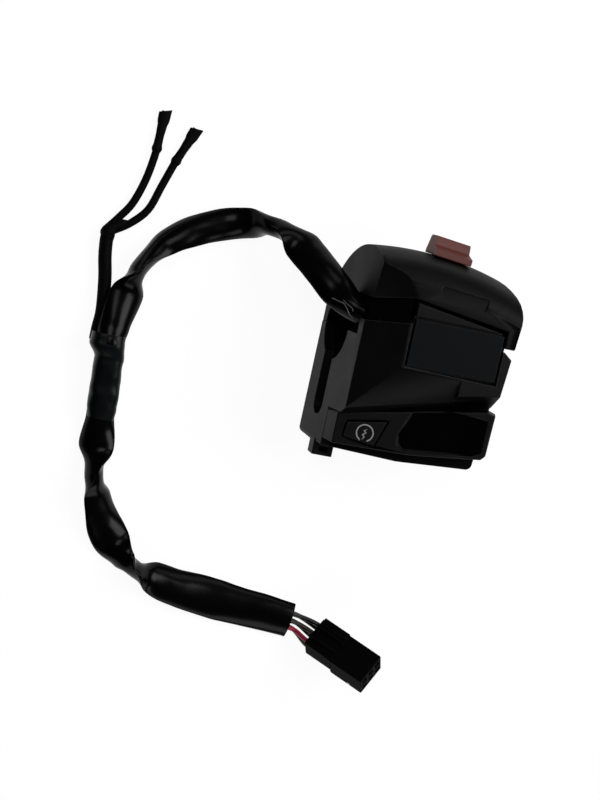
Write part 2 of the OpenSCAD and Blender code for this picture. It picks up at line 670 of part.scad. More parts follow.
module thumb_ledge() color([0.03, 0.031, 0.034]) difference() {
  intersection() {
    at_ledge() translate([0, 0, -ledge_t]) linear_extrude(ledge_t) ledge_outline();
    plan_prism(plan_lower, -far, far);
  }
  at_ledge() intersection() {
    translate([0, 0, -scoop_depth - 1]) linear_extrude(far) polygon(scoop);
    rotate([90, 0, 0]) linear_extrude(2 * far, center = true) polygon(concat(
      [[-far, far], [-far, -scoop_depth]],
      arc([sweep_x[0], sweep_r - scoop_depth], sweep_r, -90, sweep_angle - 90, 6), [[far, far]]));
  }
  at_ledge() translate([0, 0, -ledge_t - 1]) linear_extrude(far)
    polygon(inset(button, [1, 1, 1, 1] * -button_clear));
  at_start() for (p = arm_posts) translate([p[0], p[1], -ledge_t - 1])
    cylinder(h = ledge_grip + 1 + run, d = post_screw_d + 2 * fit);
  at_ledge() for (p = ledge_screw_at) translate([p[0], p[1], -ledge_t - 1])
    cylinder(h = ledge_grip + 1 + run, d = ledge_screw_d + 2 * fit);
}
function ledge_edge(x) = ledge_top + x * cos(ledge_tilt) * tan(ledge_rise);
module ledge_outline() polygon(concat(ledge_foot, [
  [ledge_right - 0.3, ledge_foot[2][1] + ledge_round[0]],
  [ledge_right, ledge_edge(ledge_right) - ledge_round[0]],
  [ledge_right - ledge_round[1], ledge_edge(ledge_right - ledge_round[1])],
  [ledge_foot[0][0], ledge_edge(ledge_foot[0][0])]
]));

module start_button() color([0.05, 0.052, 0.056]) {
  at_ledge() translate([0, 0, flange_top - hair]) linear_extrude(button_proud - flange_top + hair)
    polygon(button);
  at_ledge() translate([0, 0, flange_low]) linear_extrude(flange_t) polygon(inset(button, -flange_out));
  at_start() translate([0, 0, bridge_low - 0.8])
    cylinder(h = flange_low - bridge_low + 0.8 + hair, d = stem_d);
}
module start_spring() color([0.6, 0.6, 0.6]) at_start()
  coil(well_low + 0.05, flange_low - 0.05, 2.5, 0.7, 4);
module start_contact() color([0.72, 0.45, 0.2]) at_start() difference() {
  translate([-bridge[0] / 2, -bridge[1] / 2, bridge_low]) cube(bridge);
  translate([0, 0, bridge_low - 1]) cylinder(h = bridge[2] + 2, d = stem_d + 0.04);
}
module start_base() color([0.2, 0.18, 0.15]) at_start() difference() {
  union() {
    translate([-holder[0] / 2, -holder[1] / 2, holder_low])
      cube([holder[0], holder[1], holder_top - holder_low]);
    translate([0, arm_posts[0][1] - arm[1], arm_low])
      cube([arm[0], arm_posts[1][1] - arm_posts[0][1] + 2 * arm[1], arm[2]]);
    for (p = arm_posts) translate([p[0], p[1], arm_low]) cylinder(h = -ledge_t - arm_low, d = post_d);
  }
  translate([0, 0, well_low]) cylinder(h = far, d = well_d);
  translate([0, 0, holder_low - 1]) cylinder(h = far, d = stem_d + fit);
  translate([-bridge[0] / 2 - bridge_room, -bridge[1] / 2 - bridge_room, start_pad_low])
    cube([bridge[0] + 2 * bridge_room, bridge[1] + 2 * bridge_room, guide_low - start_pad_low]);
  for (p = arm_posts) translate([p[0], p[1], arm_low - 1]) cylinder(h = far, d = post_screw_d + 2 * fit);
  for (x = start_pads) translate([x - tail[0] / 2, -tail[1] / 2, holder_low - 1])
    cube([tail[0], tail[1], start_pad_top - holder_low + 1]);
}
module start_terminals() color([0.72, 0.56, 0.25]) at_start() for (x = start_pads) {
  translate([x - start_pad[0] / 2, -start_pad[0] / 2, start_pad_low])
    cube([start_pad[0], start_pad[0], start_pad[1]]);
  translate([x - tail[0] / 2, -tail[1] / 2, holder_low - tail_l])
    cube([tail[0], tail[1], start_pad_low - holder_low + tail_l + hair]);
}
module start_base_screws() color([0.62, 0.62, 0.6]) at_start() for (p = arm_posts)
  translate([p[0], p[1], arm_low])
    screw(post_screw_d, -ledge_t - arm_low + ledge_grip, post_screw_d * 1.8, 1.4);
module ledge_screws() color([0.62, 0.62, 0.6]) at_ledge() for (p = ledge_screw_at)
  translate([p[0], p[1], -ledge_t - wall]) screw(ledge_screw_d, wall + ledge_grip, ledge_screw_d * 1.9, 1.7);

// Wires inside the case, from the sleeve's inner end to the switch tails
inner_wire_d = 1.2;
wire_off = 1.6;
function start_tail(x, below) =
  from_ledge([button_mid[0] + x, button_mid[1], holder_low - tail_l - below - 2 * hair]);
function kill_tail(p, below) = from_kill([p[0], base_low - tail_l - below - 2 * hair, p[1]]);
function wire_start(side, up) =
  let (p = inner_end - entry * 2 * hair + entry_up * up * wire_off + entry_side * side * wire_off)
  [p, p - entry * 1.5];
inner_routes = [
  concat(wire_start(-1, 1), [[-12, 9.5, 12], [-6, 11.5, 10], [-1, 11.8, 11]],
    [kill_tail(kill_pads[0], 1.5), kill_tail(kill_pads[0], 0)]),
  concat(wire_start(1, 1), [[-12, 8, 23], [-6, 9.5, 24], [-1, 11, 22]],
    [kill_tail(kill_pads[1], 1.5), kill_tail(kill_pads[1], 0)]),
  concat(wire_start(-1, -1), [[-14.5, -1, 17], [-16, -9, 14], [-18, -17, 8], [-19, -23, 0], [-16, -29, -9]],
    [start_tail(start_pads[0], 2), start_tail(start_pads[0], 0)]),
  concat(wire_start(1, -1), [[-14.5, -2, 20], [-13.5, -10, 13], [-13, -15, 4], [-9, -20, -6], [-3, -27, -9]],
    [start_tail(start_pads[1], 2), start_tail(start_pads[1], 0)])
];
module switch_wires() color([0.15, 0.15, 0.16]) for (route = inner_routes) tube(route, inner_wire_d, 8);

// Harness on the table: points chosen along its middle, from the case to the connector
sleeve_z = table_z + sleeve_d / 2;
branch_z = table_z + branch_d / 2;
lead_z = table_z + lead_d / 2;
function at_z(points, z) = [for (p = points) [p[0], p[1], z]];
sleeve_route = concat(
  [inner_end, outer_end],
  [[-30.3, 11, 13.3], [-36, 16.2, 9.5], [-40.5, 20.4, 5], [-46.5, 25.2, -1], [-54.4, 26.9, -6]],
  at_z([[-63, 25.5], [-72.7, 22], [-81, 17.4], [-87.5, 11.5], [-91.6, 5]], sleeve_z),
  // The sleeve climbs over the branch before the tape
  [[-94, -4, sleeve_z + 0.9], [-95.6, -12, sleeve_z + 2.2]],
  at_z([[-96.4, -18], [-96.4, -21]], sleeve_z + 2.8));
tail_route = at_z([
  [-95.3, -34], [-95.3, -37], [-94.7, -43], [-94, -51], [-93.4, -59], [-92.2, -66], [-89, -74.5], [-85, -82],
  [-80, -88.4], [-73.4, -93.2], [-65.5, -96], [-57, -98], [-48, -99], [-39, -100.2], [-29, -101.2],
  [-20, -102.1], [-17, -102.5]
], sleeve_z);
branch_route = at_z([
  [-100.9, -21], [-100.9, -17], [-100.7, -11], [-101.9, -1], [-103.3, 6], [-103.9, 11], [-103.9, 13]
], branch_z);
lead_one_route = at_z([
  [-105, 13], [-105, 14.6], [-101.6, 19], [-98, 24.5], [-95.4, 32.5], [-94, 41], [-93.7, 47.5]
], lead_z);
lead_two_route = at_z([
  [-102.7, 13], [-102.7, 14.2], [-97.8, 17.8], [-92.6, 23.6], [-89.8, 32], [-87.2, 40], [-85.4, 44.6]
], lead_z);
sleeve_sides = 12;

module harness_sleeve() color([0.02, 0.02, 0.022]) tube(sleeve_route, sleeve_d, sleeve_sides);
module harness_tail() color([0.02, 0.02, 0.022]) tube(tail_route, sleeve_d, sleeve_sides);
// Tape where the branch leaves: a soft band that narrows from sleeve and branch to the sleeve alone,
// with the middle, half width and half height of each end
tape_ends = [[-97.5, 5.8, 6], [tail_route[0][0], sleeve_d / 2 + 0.4, sleeve_d / 2 + 0.3]];
function soft(v) = sign(v) * pow(abs(v), 0.6);
function tape_ring(y, e) = [
  for (i = [0 : 11]) [e[0] + e[1] * soft(cos(30 * i)), y, table_z + e[2] * (1 + soft(sin(30 * i)))]
];
module tape_wrap() color([0.025, 0.025, 0.027]) tube_of([
  tape_ring(sleeve_route[len(sleeve_route) - 1][1], tape_ends[0]), tape_ring(tail_route[0][1], tape_ends[1])
]);
module branch_sleeve() color([0.02, 0.02, 0.022]) tube(branch_route, branch_d, 8);
module lead_one() color([0.02, 0.02, 0.022]) tube(lead_one_route, lead_d, 8);
module lead_two() color([0.02, 0.02, 0.022]) tube(lead_two_route, lead_d, 8);
boot = [8.5, 3.6, 2.6];
spade = [2.8, 2.6, 0.8];
boot_bore = boot[0] - 3;
module at_lead_end(route) let (e = route[len(route) - 1], t = unit(e - route[len(route) - 2]))
  translate([e[0], e[1], table_z]) rotate(atan2(t[1], t[0])) children();
module lead_boots() color([0.02, 0.02, 0.022])
  for (route = [lead_one_route, lead_two_route]) at_lead_end(route) difference() {
    translate([0, -boot[1] / 2, 0]) cube(boot);
    translate([boot_bore, -spade[1] / 2 - fit, boot[2] / 2 - spade[2] / 2 - fit])
      cube([boot[0], spade[1] + 2 * fit, spade[2] + 2 * fit]);
  }
module lead_terminals() color([0.75, 0.7, 0.6])
  for (route = [lead_one_route, lead_two_route]) at_lead_end(route)
    translate([boot_bore + fit, -spade[1] / 2, boot[2] / 2 - spade[2] / 2]) cube(spade);

// Connector, propped by its wires with the mating end up
conn_turn = -20;
conn_pitch = 35;
conn_roll = -27;
// The rear half is a little smaller all round; it carries a latch block and two ridges
rear_l = 11;
rear_in = 0.4;
rear_half = [conn_w / 2 - rear_in, conn_h / 2 - rear_in];
ridge_y = [-2.6, 1.7];
ridge = [0.9, 1];
latch_y = 3;
latch_h = 1.4;
conn_at = [
  -8, -106,
  table_z + 0.05 + (rear_half[0] * sin(-conn_roll) + rear_half[1] * cos(conn_roll)) * cos(conn_pitch)
];
module at_conn() translate(conn_at) rotate([0, 0, conn_turn]) rotate([0, -conn_pitch, 0])
  rotate([conn_roll, 0, 0]) children();
function turn_z(p, a) = [p[0] * cos(a) - p[1] * sin(a), p[0] * sin(a) + p[1] * cos(a), p[2]];
function turn_y(p, a) = [p[0] * cos(a) + p[2] * sin(a), p[1], -p[0] * sin(a) + p[2] * cos(a)];
function turn_x(p, a) = [p[0], p[1] * cos(a) - p[2] * sin(a), p[1] * sin(a) + p[2] * cos(a)];
function from_conn(p) = conn_at + turn_z(turn_y(turn_x(p, conn_roll), -conn_pitch), conn_turn);
conn_ways = [for (y = [-3.5, 0, 3.5], z = [-2, 2]) [y, z]];
way = 2.2;
way_slot = 1;
way_start = 4;
lock_t = 1;
lock_x = conn_l - 6;
module connector_housing() color([0.04, 0.04, 0.042]) at_conn() difference() {
  union() {
    translate([rear_l, -conn_w / 2, -conn_h / 2]) cube([conn_l - rear_l, conn_w, conn_h]);
    translate([0, -rear_half[0], -rear_half[1]])
      cube([rear_l + hair, 2 * rear_half[0], 2 * rear_half[1]]);
    for (y = ridge_y) translate([0, y, rear_half[1] - hair]) cube([rear_l + hair, ridge[0], ridge[1]]);
    translate([0.6, latch_y, rear_half[1] - hair])
      cube([rear_l - 0.6 + hair, conn_w / 2 - latch_y, latch_h]);
  }
  for (p = conn_ways) translate([-1, p[0] - way / 2, p[1] - way / 2]) cube([conn_l + 2, way, way]);
  translate([lock_x, -conn_w / 2 - 1, -conn_h / 2 - 1]) cube([lock_t + fit, conn_w + 2, lock_t + 1]);
}
module connector_terminals() color([0.75, 0.7, 0.6]) at_conn() for (p = conn_ways) difference() {
  translate([way_start, p[0] - way / 2 + fit, p[1] - way / 2 + fit])
    cube([conn_l - way_start - 1, way - 2 * fit, way - 2 * fit]);
  translate([conn_l - 8, p[0] - way_slot / 2, p[1] - way_slot / 2]) cube([conn_l, way_slot, way_slot]);
}
module connector_lock() color([0.5, 0.5, 0.48]) at_conn()
  translate([lock_x + fit / 2, -conn_w / 2, -conn_h / 2]) cube([lock_t, conn_w, lock_t - fit]);
// Six wires from the sleeve's open end into the connector
mouth = tail_route[len(tail_route) - 1];
mouth_course = unit(mouth - tail_route[len(tail_route) - 2]);
mouth_side = cross([0, 0, 1], mouth_course);
bundle = 0.7;
pull = 2.4;
function bezier(a, b, c, d, t) =
  a * pow(1 - t, 3) + 3 * b * t * pow(1 - t, 2) + 3 * c * t * t * (1 - t) + d * pow(t, 3);
function pigtail(p) = let (
    a = mouth + mouth_side * p[0] * bundle + [0, 0, p[1] * bundle],
    b = a + mouth_course,
    c = from_conn([-0.6, p[0], p[1]]),
    c_pull = from_conn([-0.6 - pull, p[0], p[1]]),
    d = from_conn([way_start - 2 * hair, p[0], p[1]])
  )
  concat([a], [for (t = [0 : 0.25 : 1]) bezier(b, b + mouth_course * pull, c_pull, c, t)], [d]);
wire_colours = ["firebrick", "white", "saddlebrown", "gray", "darkgreen", "black"];
module pigtail_wires() for (i = [0 : len(conn_ways) - 1])
  color(wire_colours[i]) tube(pigtail(conn_ways[i]), wire_d, 8);

upper_case();
lower_case();
case_screws();
case_inserts();
blank_plate();
wire_grommet();
harness_clamp();
clamp_screw();
kill_knob();
kill_carrier();
kill_contact();
detent_ball();
detent_spring();
kill_base();
kill_terminals();
kill_base_screws();
thumb_ledge();
ledge_screws();
start_button();
start_spring();
start_contact();
start_base();
start_terminals();
start_base_screws();
switch_wires();
harness_sleeve();
tape_wrap();
harness_tail();
pigtail_wires();
connector_housing();
connector_terminals();
connector_lock();
branch_sleeve();
lead_one();
lead_two();
lead_boots();
lead_terminals();
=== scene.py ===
# %% [markdown]
# # A handlebar switch cluster
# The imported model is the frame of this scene: every node is already in its place, in metres.
# We keep its box straight away, because the dressed object must stay inside it.

# %% Load the frame
import bmesh
import bpy
import json
from math import cos, exp, pi, radians, sin, sqrt
from mathutils import Matrix, Vector, noise
from mathutils.geometry import area_tri


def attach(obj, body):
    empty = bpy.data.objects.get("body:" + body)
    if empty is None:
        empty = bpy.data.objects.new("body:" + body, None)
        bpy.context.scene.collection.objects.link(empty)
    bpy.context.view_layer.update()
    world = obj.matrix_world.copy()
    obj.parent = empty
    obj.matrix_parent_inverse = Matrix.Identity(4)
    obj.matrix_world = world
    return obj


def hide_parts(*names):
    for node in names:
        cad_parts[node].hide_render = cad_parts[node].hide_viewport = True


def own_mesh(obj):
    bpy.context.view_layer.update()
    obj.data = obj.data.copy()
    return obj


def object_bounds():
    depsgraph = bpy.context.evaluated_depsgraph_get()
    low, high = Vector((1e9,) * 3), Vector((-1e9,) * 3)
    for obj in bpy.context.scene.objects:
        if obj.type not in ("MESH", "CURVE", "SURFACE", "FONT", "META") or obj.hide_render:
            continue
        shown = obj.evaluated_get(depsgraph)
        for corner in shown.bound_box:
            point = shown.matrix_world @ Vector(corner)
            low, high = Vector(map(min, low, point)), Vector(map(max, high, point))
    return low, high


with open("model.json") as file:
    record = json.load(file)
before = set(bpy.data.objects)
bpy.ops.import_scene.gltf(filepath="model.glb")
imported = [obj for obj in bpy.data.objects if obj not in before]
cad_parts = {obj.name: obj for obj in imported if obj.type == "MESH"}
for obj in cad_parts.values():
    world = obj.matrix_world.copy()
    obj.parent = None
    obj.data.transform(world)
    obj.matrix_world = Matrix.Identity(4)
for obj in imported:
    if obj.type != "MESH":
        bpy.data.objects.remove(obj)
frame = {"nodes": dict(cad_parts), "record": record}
cad_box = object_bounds()
MM = 0.001
scene = bpy.context.scene
scene.view_settings.view_transform = "Standard"

# %% [markdown]
# ## Camera
# The photograph looks down on the cluster, a little from the left and from above the stop slider,
# and the picture is rolled. Three angles give the camera's axes. The distance and the focal length
# in pixels set the size, and the pixel of the bar's middle sets where the part sits in the picture.

# %% Camera
YAW, PITCH, ROLL = radians(13), radians(6), radians(12.3)
DISTANCE = 0.6
FOCAL_PX = 1818
PICTURE_PX = Vector((600, 800))
BAR_MIDDLE_PX = Vector((412, 340.5))
SENSOR = 36

to_camera = Vector((-sin(YAW) * cos(PITCH), sin(PITCH), cos(YAW) * cos(PITCH)))
level = Vector((cos(YAW), 0, sin(YAW)))
upright = to_camera.cross(level)
picture_right = level * cos(ROLL) + upright * sin(ROLL)
picture_up = upright * cos(ROLL) - level * sin(ROLL)
aside = (BAR_MIDDLE_PX - PICTURE_PX / 2) / FOCAL_PX
camera_place = DISTANCE * (to_camera - picture_right * aside.x + picture_up * aside.y)

camera = bpy.data.objects.new("camera", bpy.data.cameras.new("camera"))
camera.data.sensor_fit = "VERTICAL"
camera.data.sensor_height = SENSOR
camera.data.lens = FOCAL_PX / PICTURE_PX.y * SENSOR
camera.data.clip_start = 0.01
turned = Matrix((picture_right, picture_up, to_camera)).transposed()
camera.matrix_world = Matrix.Translation(camera_place) @ turned.to_4x4()
scene.collection.objects.link(camera)
scene.camera = camera
print("camera at", [round(c / MM, 1) for c in camera_place], "mm")

# %% [markdown]
# ## Node groups
# A finish on a moulded part is more than a colour. Two effects are used by several materials, so
# each is a group with its own sockets: the grain that a mould leaves, and a painted highlight that
# makes edges paler. A group puts out only masks and heights, and each material has its own shader.

# %% Node group helpers
def socketed_group(name, inputs, outputs):
    group = bpy.data.node_groups.new(name, "ShaderNodeTree")
    for label, kind, value in inputs:
        socket = group.interface.new_socket(label, in_out="INPUT", socket_type=kind)
        if value is not None:
            socket.default_value = value
    for label, kind in outputs:
        group.interface.new_socket(label, in_out="OUTPUT", socket_type=kind)
    return group, group.nodes.new("NodeGroupInput"), group.nodes.new("NodeGroupOutput")


def math_node(tree, operation, a, b):
    node = tree.nodes.new("ShaderNodeMath")
    node.operation = operation
    for socket, value in zip(node.inputs, (a, b)):
        if isinstance(value, (int, float)):
            socket.default_value = value
        else:
            tree.links.new(value, socket)
    return node.outputs[0]


# %% Mould grain
PATCHES_PER_METRE = 90
grain_group, given, made = socketed_group(
    "mould grain",
    [("Vector", "NodeSocketVector", None), ("Grains per metre", "NodeSocketFloat", 2500)],
    [("Height", "NodeSocketFloat"), ("Patches", "NodeSocketFloat")],
)
pebbles = grain_group.nodes.new("ShaderNodeTexVoronoi")
pebbles.feature = "SMOOTH_F1"
speckle = grain_group.nodes.new("ShaderNodeTexNoise")
speckle.inputs["Detail"].default_value = 4
patches = grain_group.nodes.new("ShaderNodeTexNoise")
patches.inputs["Scale"].default_value = PATCHES_PER_METRE
patches.inputs["Detail"].default_value = 5
for texture in (pebbles, speckle, patches):
    grain_group.links.new(given.outputs["Vector"], texture.inputs["Vector"])
for texture in (pebbles, speckle):
    grain_group.links.new(given.outputs["Grains per metre"], texture.inputs["Scale"])
height = math_node(grain_group, "MULTIPLY", pebbles.outputs["Distance"], speckle.outputs["Fac"])
grain_group.links.new(height, made.inputs["Height"])
grain_group.links.new(patches.outputs["Fac"], made.inputs["Patches"])
print("nodes in", grain_group.name + ":", len(grain_group.nodes))

# %% Painted edge highlights
EDGE_HIGHLIGHT_WIDTH = 0.7 * MM
EDGE_HIGHLIGHT_STRENGTH = 4
HIGHLIGHT_BREAKS_PER_METRE = 400
# Painted highlight: edges found by the Bevel node get a paler colour, as if they caught the light,
# and noise breaks the line up.
edge_highlight_group, given, made = socketed_group(
    "rubbed edges",
    [("Vector", "NodeSocketVector", None), ("Width", "NodeSocketFloat", EDGE_HIGHLIGHT_WIDTH)],
    [("Mask", "NodeSocketFloat")],
)
rounded = edge_highlight_group.nodes.new("ShaderNodeBevel")
rounded.samples = 4
surface = edge_highlight_group.nodes.new("ShaderNodeNewGeometry")
facing = edge_highlight_group.nodes.new("ShaderNodeVectorMath")
facing.operation = "DOT_PRODUCT"
highlight_breaks = edge_highlight_group.nodes.new("ShaderNodeTexNoise")
highlight_breaks.inputs["Scale"].default_value = HIGHLIGHT_BREAKS_PER_METRE
edge_highlight_group.links.new(given.outputs["Width"], rounded.inputs["Radius"])
edge_highlight_group.links.new(rounded.outputs["Normal"], facing.inputs[0])
edge_highlight_group.links.new(surface.outputs["Normal"], facing.inputs[1])
edge_highlight_group.links.new(given.outputs["Vector"], highlight_breaks.inputs["Vector"])
turned_away = math_node(edge_highlight_group, "SUBTRACT", 1, facing.outputs["Value"])
strong = math_node(edge_highlight_group, "MULTIPLY", turned_away, EDGE_HIGHLIGHT_STRENGTH)
uneven = math_node(edge_highlight_group, "MULTIPLY", strong, highlight_breaks.outputs["Fac"])
capped = math_node(edge_highlight_group, "MINIMUM", uneven, 1)
edge_highlight_group.links.new(capped, made.inputs["Mask"])
print("nodes in", edge_highlight_group.name + ":", len(edge_highlight_group.nodes))

# %% [markdown]
# ## Materials
# Nearly everything here is black, and the eye tells the pieces apart by gloss: grained plastic on
# the case, a satin plate, a polished scoop, shiny vinyl on the harness, dull rubber. One function
# makes them all, from a tone, a roughness, a grain and a pale colour painted on the edges as a
# highlight. Grained plastic also loses its gloss at a low angle, because the grains shade each
# other. The calm value sets how fast. The crown gets a little less gloss than the lower shell, as in
# the photograph.

# %% One function for all finishes
GLOSS_SPREAD = 0.15
BUMP_STRENGTH = 0.6


def finish_of(
    name, tone, rough, patchy=0.25, grain=2500, depth=0.02,
    painted_highlight=None, metallic=0, specular=0.5, calm=0,
):
    material = bpy.data.materials.new(name)
    material.use_nodes = True
    tree = material.node_tree
    shader = tree.nodes["Principled BSDF"]
    shader.inputs["Metallic"].default_value = metallic
    shader.inputs["Specular IOR Level"].default_value = specular
    where = tree.nodes.new("ShaderNodeTexCoord").outputs["Object"]
    skin = tree.nodes.new("ShaderNodeGroup")
    skin.node_tree = grain_group
    skin.inputs["Grains per metre"].default_value = grain
    tree.links.new(where, skin.inputs["Vector"])
    colour = tree.nodes.new("ShaderNodeMix")
    colour.data_type = "RGBA"
    colour.inputs["A"].default_value = [c * (1 - patchy) for c in tone] + [1]
    colour.inputs["B"].default_value = [c * (1 + patchy) for c in tone] + [1]
    tree.links.new(skin.outputs["Patches"], colour.inputs["Factor"])
    painted = colour.outputs["Result"]
    # Painted highlight: the colour is mixed towards a pale tone along the edges.
    if painted_highlight:
        highlight_node = tree.nodes.new("ShaderNodeGroup")
        highlight_node.node_tree = edge_highlight_group
        tree.links.new(where, highlight_node.inputs["Vector"])
        highlit_colour = tree.nodes.new("ShaderNodeMix")
        highlit_colour.data_type = "RGBA"
        highlit_colour.inputs["B"].default_value = [*painted_highlight, 1]
        tree.links.new(highlight_node.outputs["Mask"], highlit_colour.inputs["Factor"])
        tree.links.new(painted, highlit_colour.inputs["A"])
        painted = highlit_colour.outputs["Result"]
    tree.links.new(painted, shader.inputs["Base Color"])
    if calm:
        angle = tree.nodes.new("ShaderNodeLayerWeight")
        facing_us = math_node(tree, "SUBTRACT", 1, angle.outputs["Facing"])
        kept = math_node(tree, "MULTIPLY", math_node(tree, "POWER", facing_us, calm), specular)
        tree.links.new(kept, shader.inputs["Specular IOR Level"])
    gloss = tree.nodes.new("ShaderNodeMapRange")
    gloss.inputs["To Min"].default_value = rough * (1 - GLOSS_SPREAD)
    gloss.inputs["To Max"].default_value = min(1, rough * (1 + GLOSS_SPREAD))
    tree.links.new(skin.outputs["Patches"], gloss.inputs["Value"])
    tree.links.new(gloss.outputs["Result"], shader.inputs["Roughness"])
    relief = tree.nodes.new("ShaderNodeBump")
    relief.inputs["Strength"].default_value = BUMP_STRENGTH
    relief.inputs["Distance"].default_value = depth * MM
    tree.links.new(skin.outputs["Height"], relief.inputs["Height"])
    tree.links.new(relief.outputs["Normal"], shader.inputs["Normal"])
    return material


# %% Materials
# A pale colour painted on edges as a highlight.
EDGE_HIGHLIGHT_TONE = (0.03, 0.03, 0.03)
DEEP_BLACK = (0.001, 0.001, 0.001)
finishes = {
    "case_black": finish_of(
        "case black", DEEP_BLACK, 0.48, depth=0.03, painted_highlight=EDGE_HIGHLIGHT_TONE, specular=0.13, calm=0.7,
    ),
    "ledge_gloss": finish_of(
        "scoop polish", (0.0008, 0.0009, 0.001), 0.25, grain=900, depth=0.003, specular=0.04,
    ),
    "knob_red": finish_of(
        "knob red", (0.11, 0.03, 0.024), 0.5, grain=1500, painted_highlight=(0.12, 0.02, 0.015),
        specular=0.35, calm=1,
    ),
    "carrier_white": finish_of("natural nylon", (0.6, 0.58, 0.52), 0.5),
    "switch_brown": finish_of("switch base brown", (0.05, 0.035, 0.025), 0.6),
    "connector_black": finish_of(
        "connector black", (0.0007, 0.0007, 0.0007), 0.5, painted_highlight=(0.006, 0.006, 0.006),
        specular=0.03, calm=1,
    ),
    "sleeve_vinyl": finish_of(
        "sleeve vinyl", (0.0012, 0.0012, 0.0014), 0.23, grain=500, depth=0.02, specular=0.1,
    ),
    "rubber_black": finish_of("rubber black", DEEP_BLACK, 0.8, specular=0.03, calm=3),
    "wire_black": finish_of(
        "wire black", (0.0012, 0.0012, 0.0012), 0.6, grain=1800, depth=0.05, specular=0.05, calm=1,
    ),
    "steel": finish_of("zinc plated steel", (0.55, 0.55, 0.53), 0.35, metallic=1, grain=4000),
    "brass": finish_of("brass", (0.35, 0.24, 0.09), 0.35, metallic=1, grain=4000),
}
crown_dull = finish_of(
    "crown dull", DEEP_BLACK, 0.48, depth=0.03, painted_highlight=EDGE_HIGHLIGHT_TONE, specular=0.1, calm=0.7,
)
plate_satin = finish_of(
    "plate satin", (0.0016, 0.002, 0.0026), 0.5, painted_highlight=EDGE_HIGHLIGHT_TONE, specular=0.08, calm=0.7,
)
ledge_satin = finish_of(
    "ledge satin", (0.0018, 0.0018, 0.0022), 0.55, painted_highlight=EDGE_HIGHLIGHT_TONE, specular=0.16, calm=0.7,
)
tape_satin = finish_of("tape satin", (0.0014, 0.0018, 0.0022), 0.36, grain=700, specular=0.16)
symbol_white = finish_of("symbol white", (0.3, 0.3, 0.3), 0.6, patchy=0.1, specular=0.1)
for part in frame["record"]["subparts"]:
    node = frame["nodes"][part["node"]]
    if not node.material_slots:
        node.data.materials.append(None)
    for held in node.material_slots:
        held.material = finishes[part["material_slot"]]
print("materials:", len(bpy.data.materials))

# %% [markdown]
# ## Floor
# The part lies on a white table. A photographer would use a lit sheet of paper. Here the floor is
# white to the camera and to reflections, and keeps a trace of shadow because a little of it is an
# ordinary lit surface.

# %% Floor
TABLE = cad_box[0][2]
FLOOR_SIZE = 6
FLOOR_GAP = 0.02 * MM
FLOOR_GLOW = 1.04
SHADOW_SHARE = 0.1

floor_bm = bmesh.new()
bmesh.ops.create_grid(floor_bm, x_segments=1, y_segments=1, size=FLOOR_SIZE / 2)
bmesh.ops.translate(floor_bm, verts=floor_bm.verts, vec=(0, 0, TABLE - FLOOR_GAP))
floor = bpy.data.objects.new("floor", bpy.data.meshes.new("floor"))
floor_bm.to_mesh(floor.data)
floor_bm.free()
scene.collection.objects.link(floor)


def seen_directly(tree):
    path = tree.nodes.new("ShaderNodeLightPath")
    seen = math_node(tree, "MAXIMUM", path.outputs["Is Camera Ray"], path.outputs["Is Glossy Ray"])
    return math_node(tree, "MAXIMUM", seen, path.outputs["Is Transmission Ray"])


white = bpy.data.materials.new("white table")
white.use_nodes = True
tree = white.node_tree
lit = tree.nodes["Principled BSDF"]
lit.inputs["Base Color"].default_value = (0.9, 0.9, 0.9, 1)
lit.inputs["Roughness"].default_value = 1
lit.inputs["Specular IOR Level"].default_value = 0
glow = tree.nodes.new("ShaderNodeEmission")
glow.inputs["Strength"].default_value = FLOOR_GLOW
blend = tree.nodes.new("ShaderNodeMixShader")
glowing = math_node(tree, "MULTIPLY", seen_directly(tree), 1 - SHADOW_SHARE)
tree.links.new(glowing, blend.inputs["Fac"])
tree.links.new(lit.outputs[0], blend.inputs[1])
tree.links.new(glow.outputs[0], blend.inputs[2])
tree.links.new(blend.outputs[0], tree.nodes["Material Output"].inputs["Surface"])
floor.data.materials.append(white)
print("floor at", round(TABLE / MM, 2), "mm")

# %% [markdown]
# ## Light
# The world is nearly dark, so that black plastic stays black. The soft boxes stand round the
# camera's own mirror image, not in it: dull plastic gathers their light from the side, and shiny
# vinyl shows it only on its folds. The facet on the left turns away from all of them and stays
# black.

# %% Light
WORLD_FILL = 0.01
world = bpy.data.worlds.new("studio")
scene.world = world
world.use_nodes = True
tree = world.node_tree
backdrop = tree.nodes["Background"]
backdrop.inputs["Color"].default_value = (1, 1, 1, 1)
dim = tree.nodes.new("ShaderNodeMapRange")
dim.inputs["To Min"].default_value = WORLD_FILL
dim.inputs["To Max"].default_value = 1
camera_only = tree.nodes.new("ShaderNodeLightPath")
tree.links.new(camera_only.outputs["Is Camera Ray"], dim.inputs["Value"])
tree.links.new(dim.outputs["Result"], backdrop.inputs["Strength"])


def soft_box(name, place, size, power):
    lamp = bpy.data.lights.new(name, "AREA")
    lamp.shape = "RECTANGLE"
    lamp.size, lamp.size_y = size
    lamp.energy = power
    box = bpy.data.objects.new(name, lamp)
    box.location = place
    box.rotation_euler = Vector(place).to_track_quat("Z", "Y").to_euler()
    scene.collection.objects.link(box)


soft_box("key box", (0.55, 0.2, 0.62), (0.5, 0.5), 5.2)
soft_box("left box", (-0.27, 0.36, 0.78), (0.4, 0.4), 2)
soft_box("back box", (0.15, 0.7, 0.45), (0.5, 0.3), 0.85)
soft_box("front box", (0.16, -0.72, 0.36), (0.7, 0.3), 1.7)
print("soft boxes:", len(bpy.data.lights))

# %% [markdown]
# ## The harness sleeve
# The sleeve is lay-flat vinyl tube. It is squashed into a lens shape and turns as it goes, so it
# looks broad where its flat side faces us and narrow where it stands on edge. We place a circle at
# each station of a smooth route, squash and turn it, and bridge each ring to the next. Noise and
# slanting folds then crease the skin. The tail's free end is turned in, so that it looks hollow.

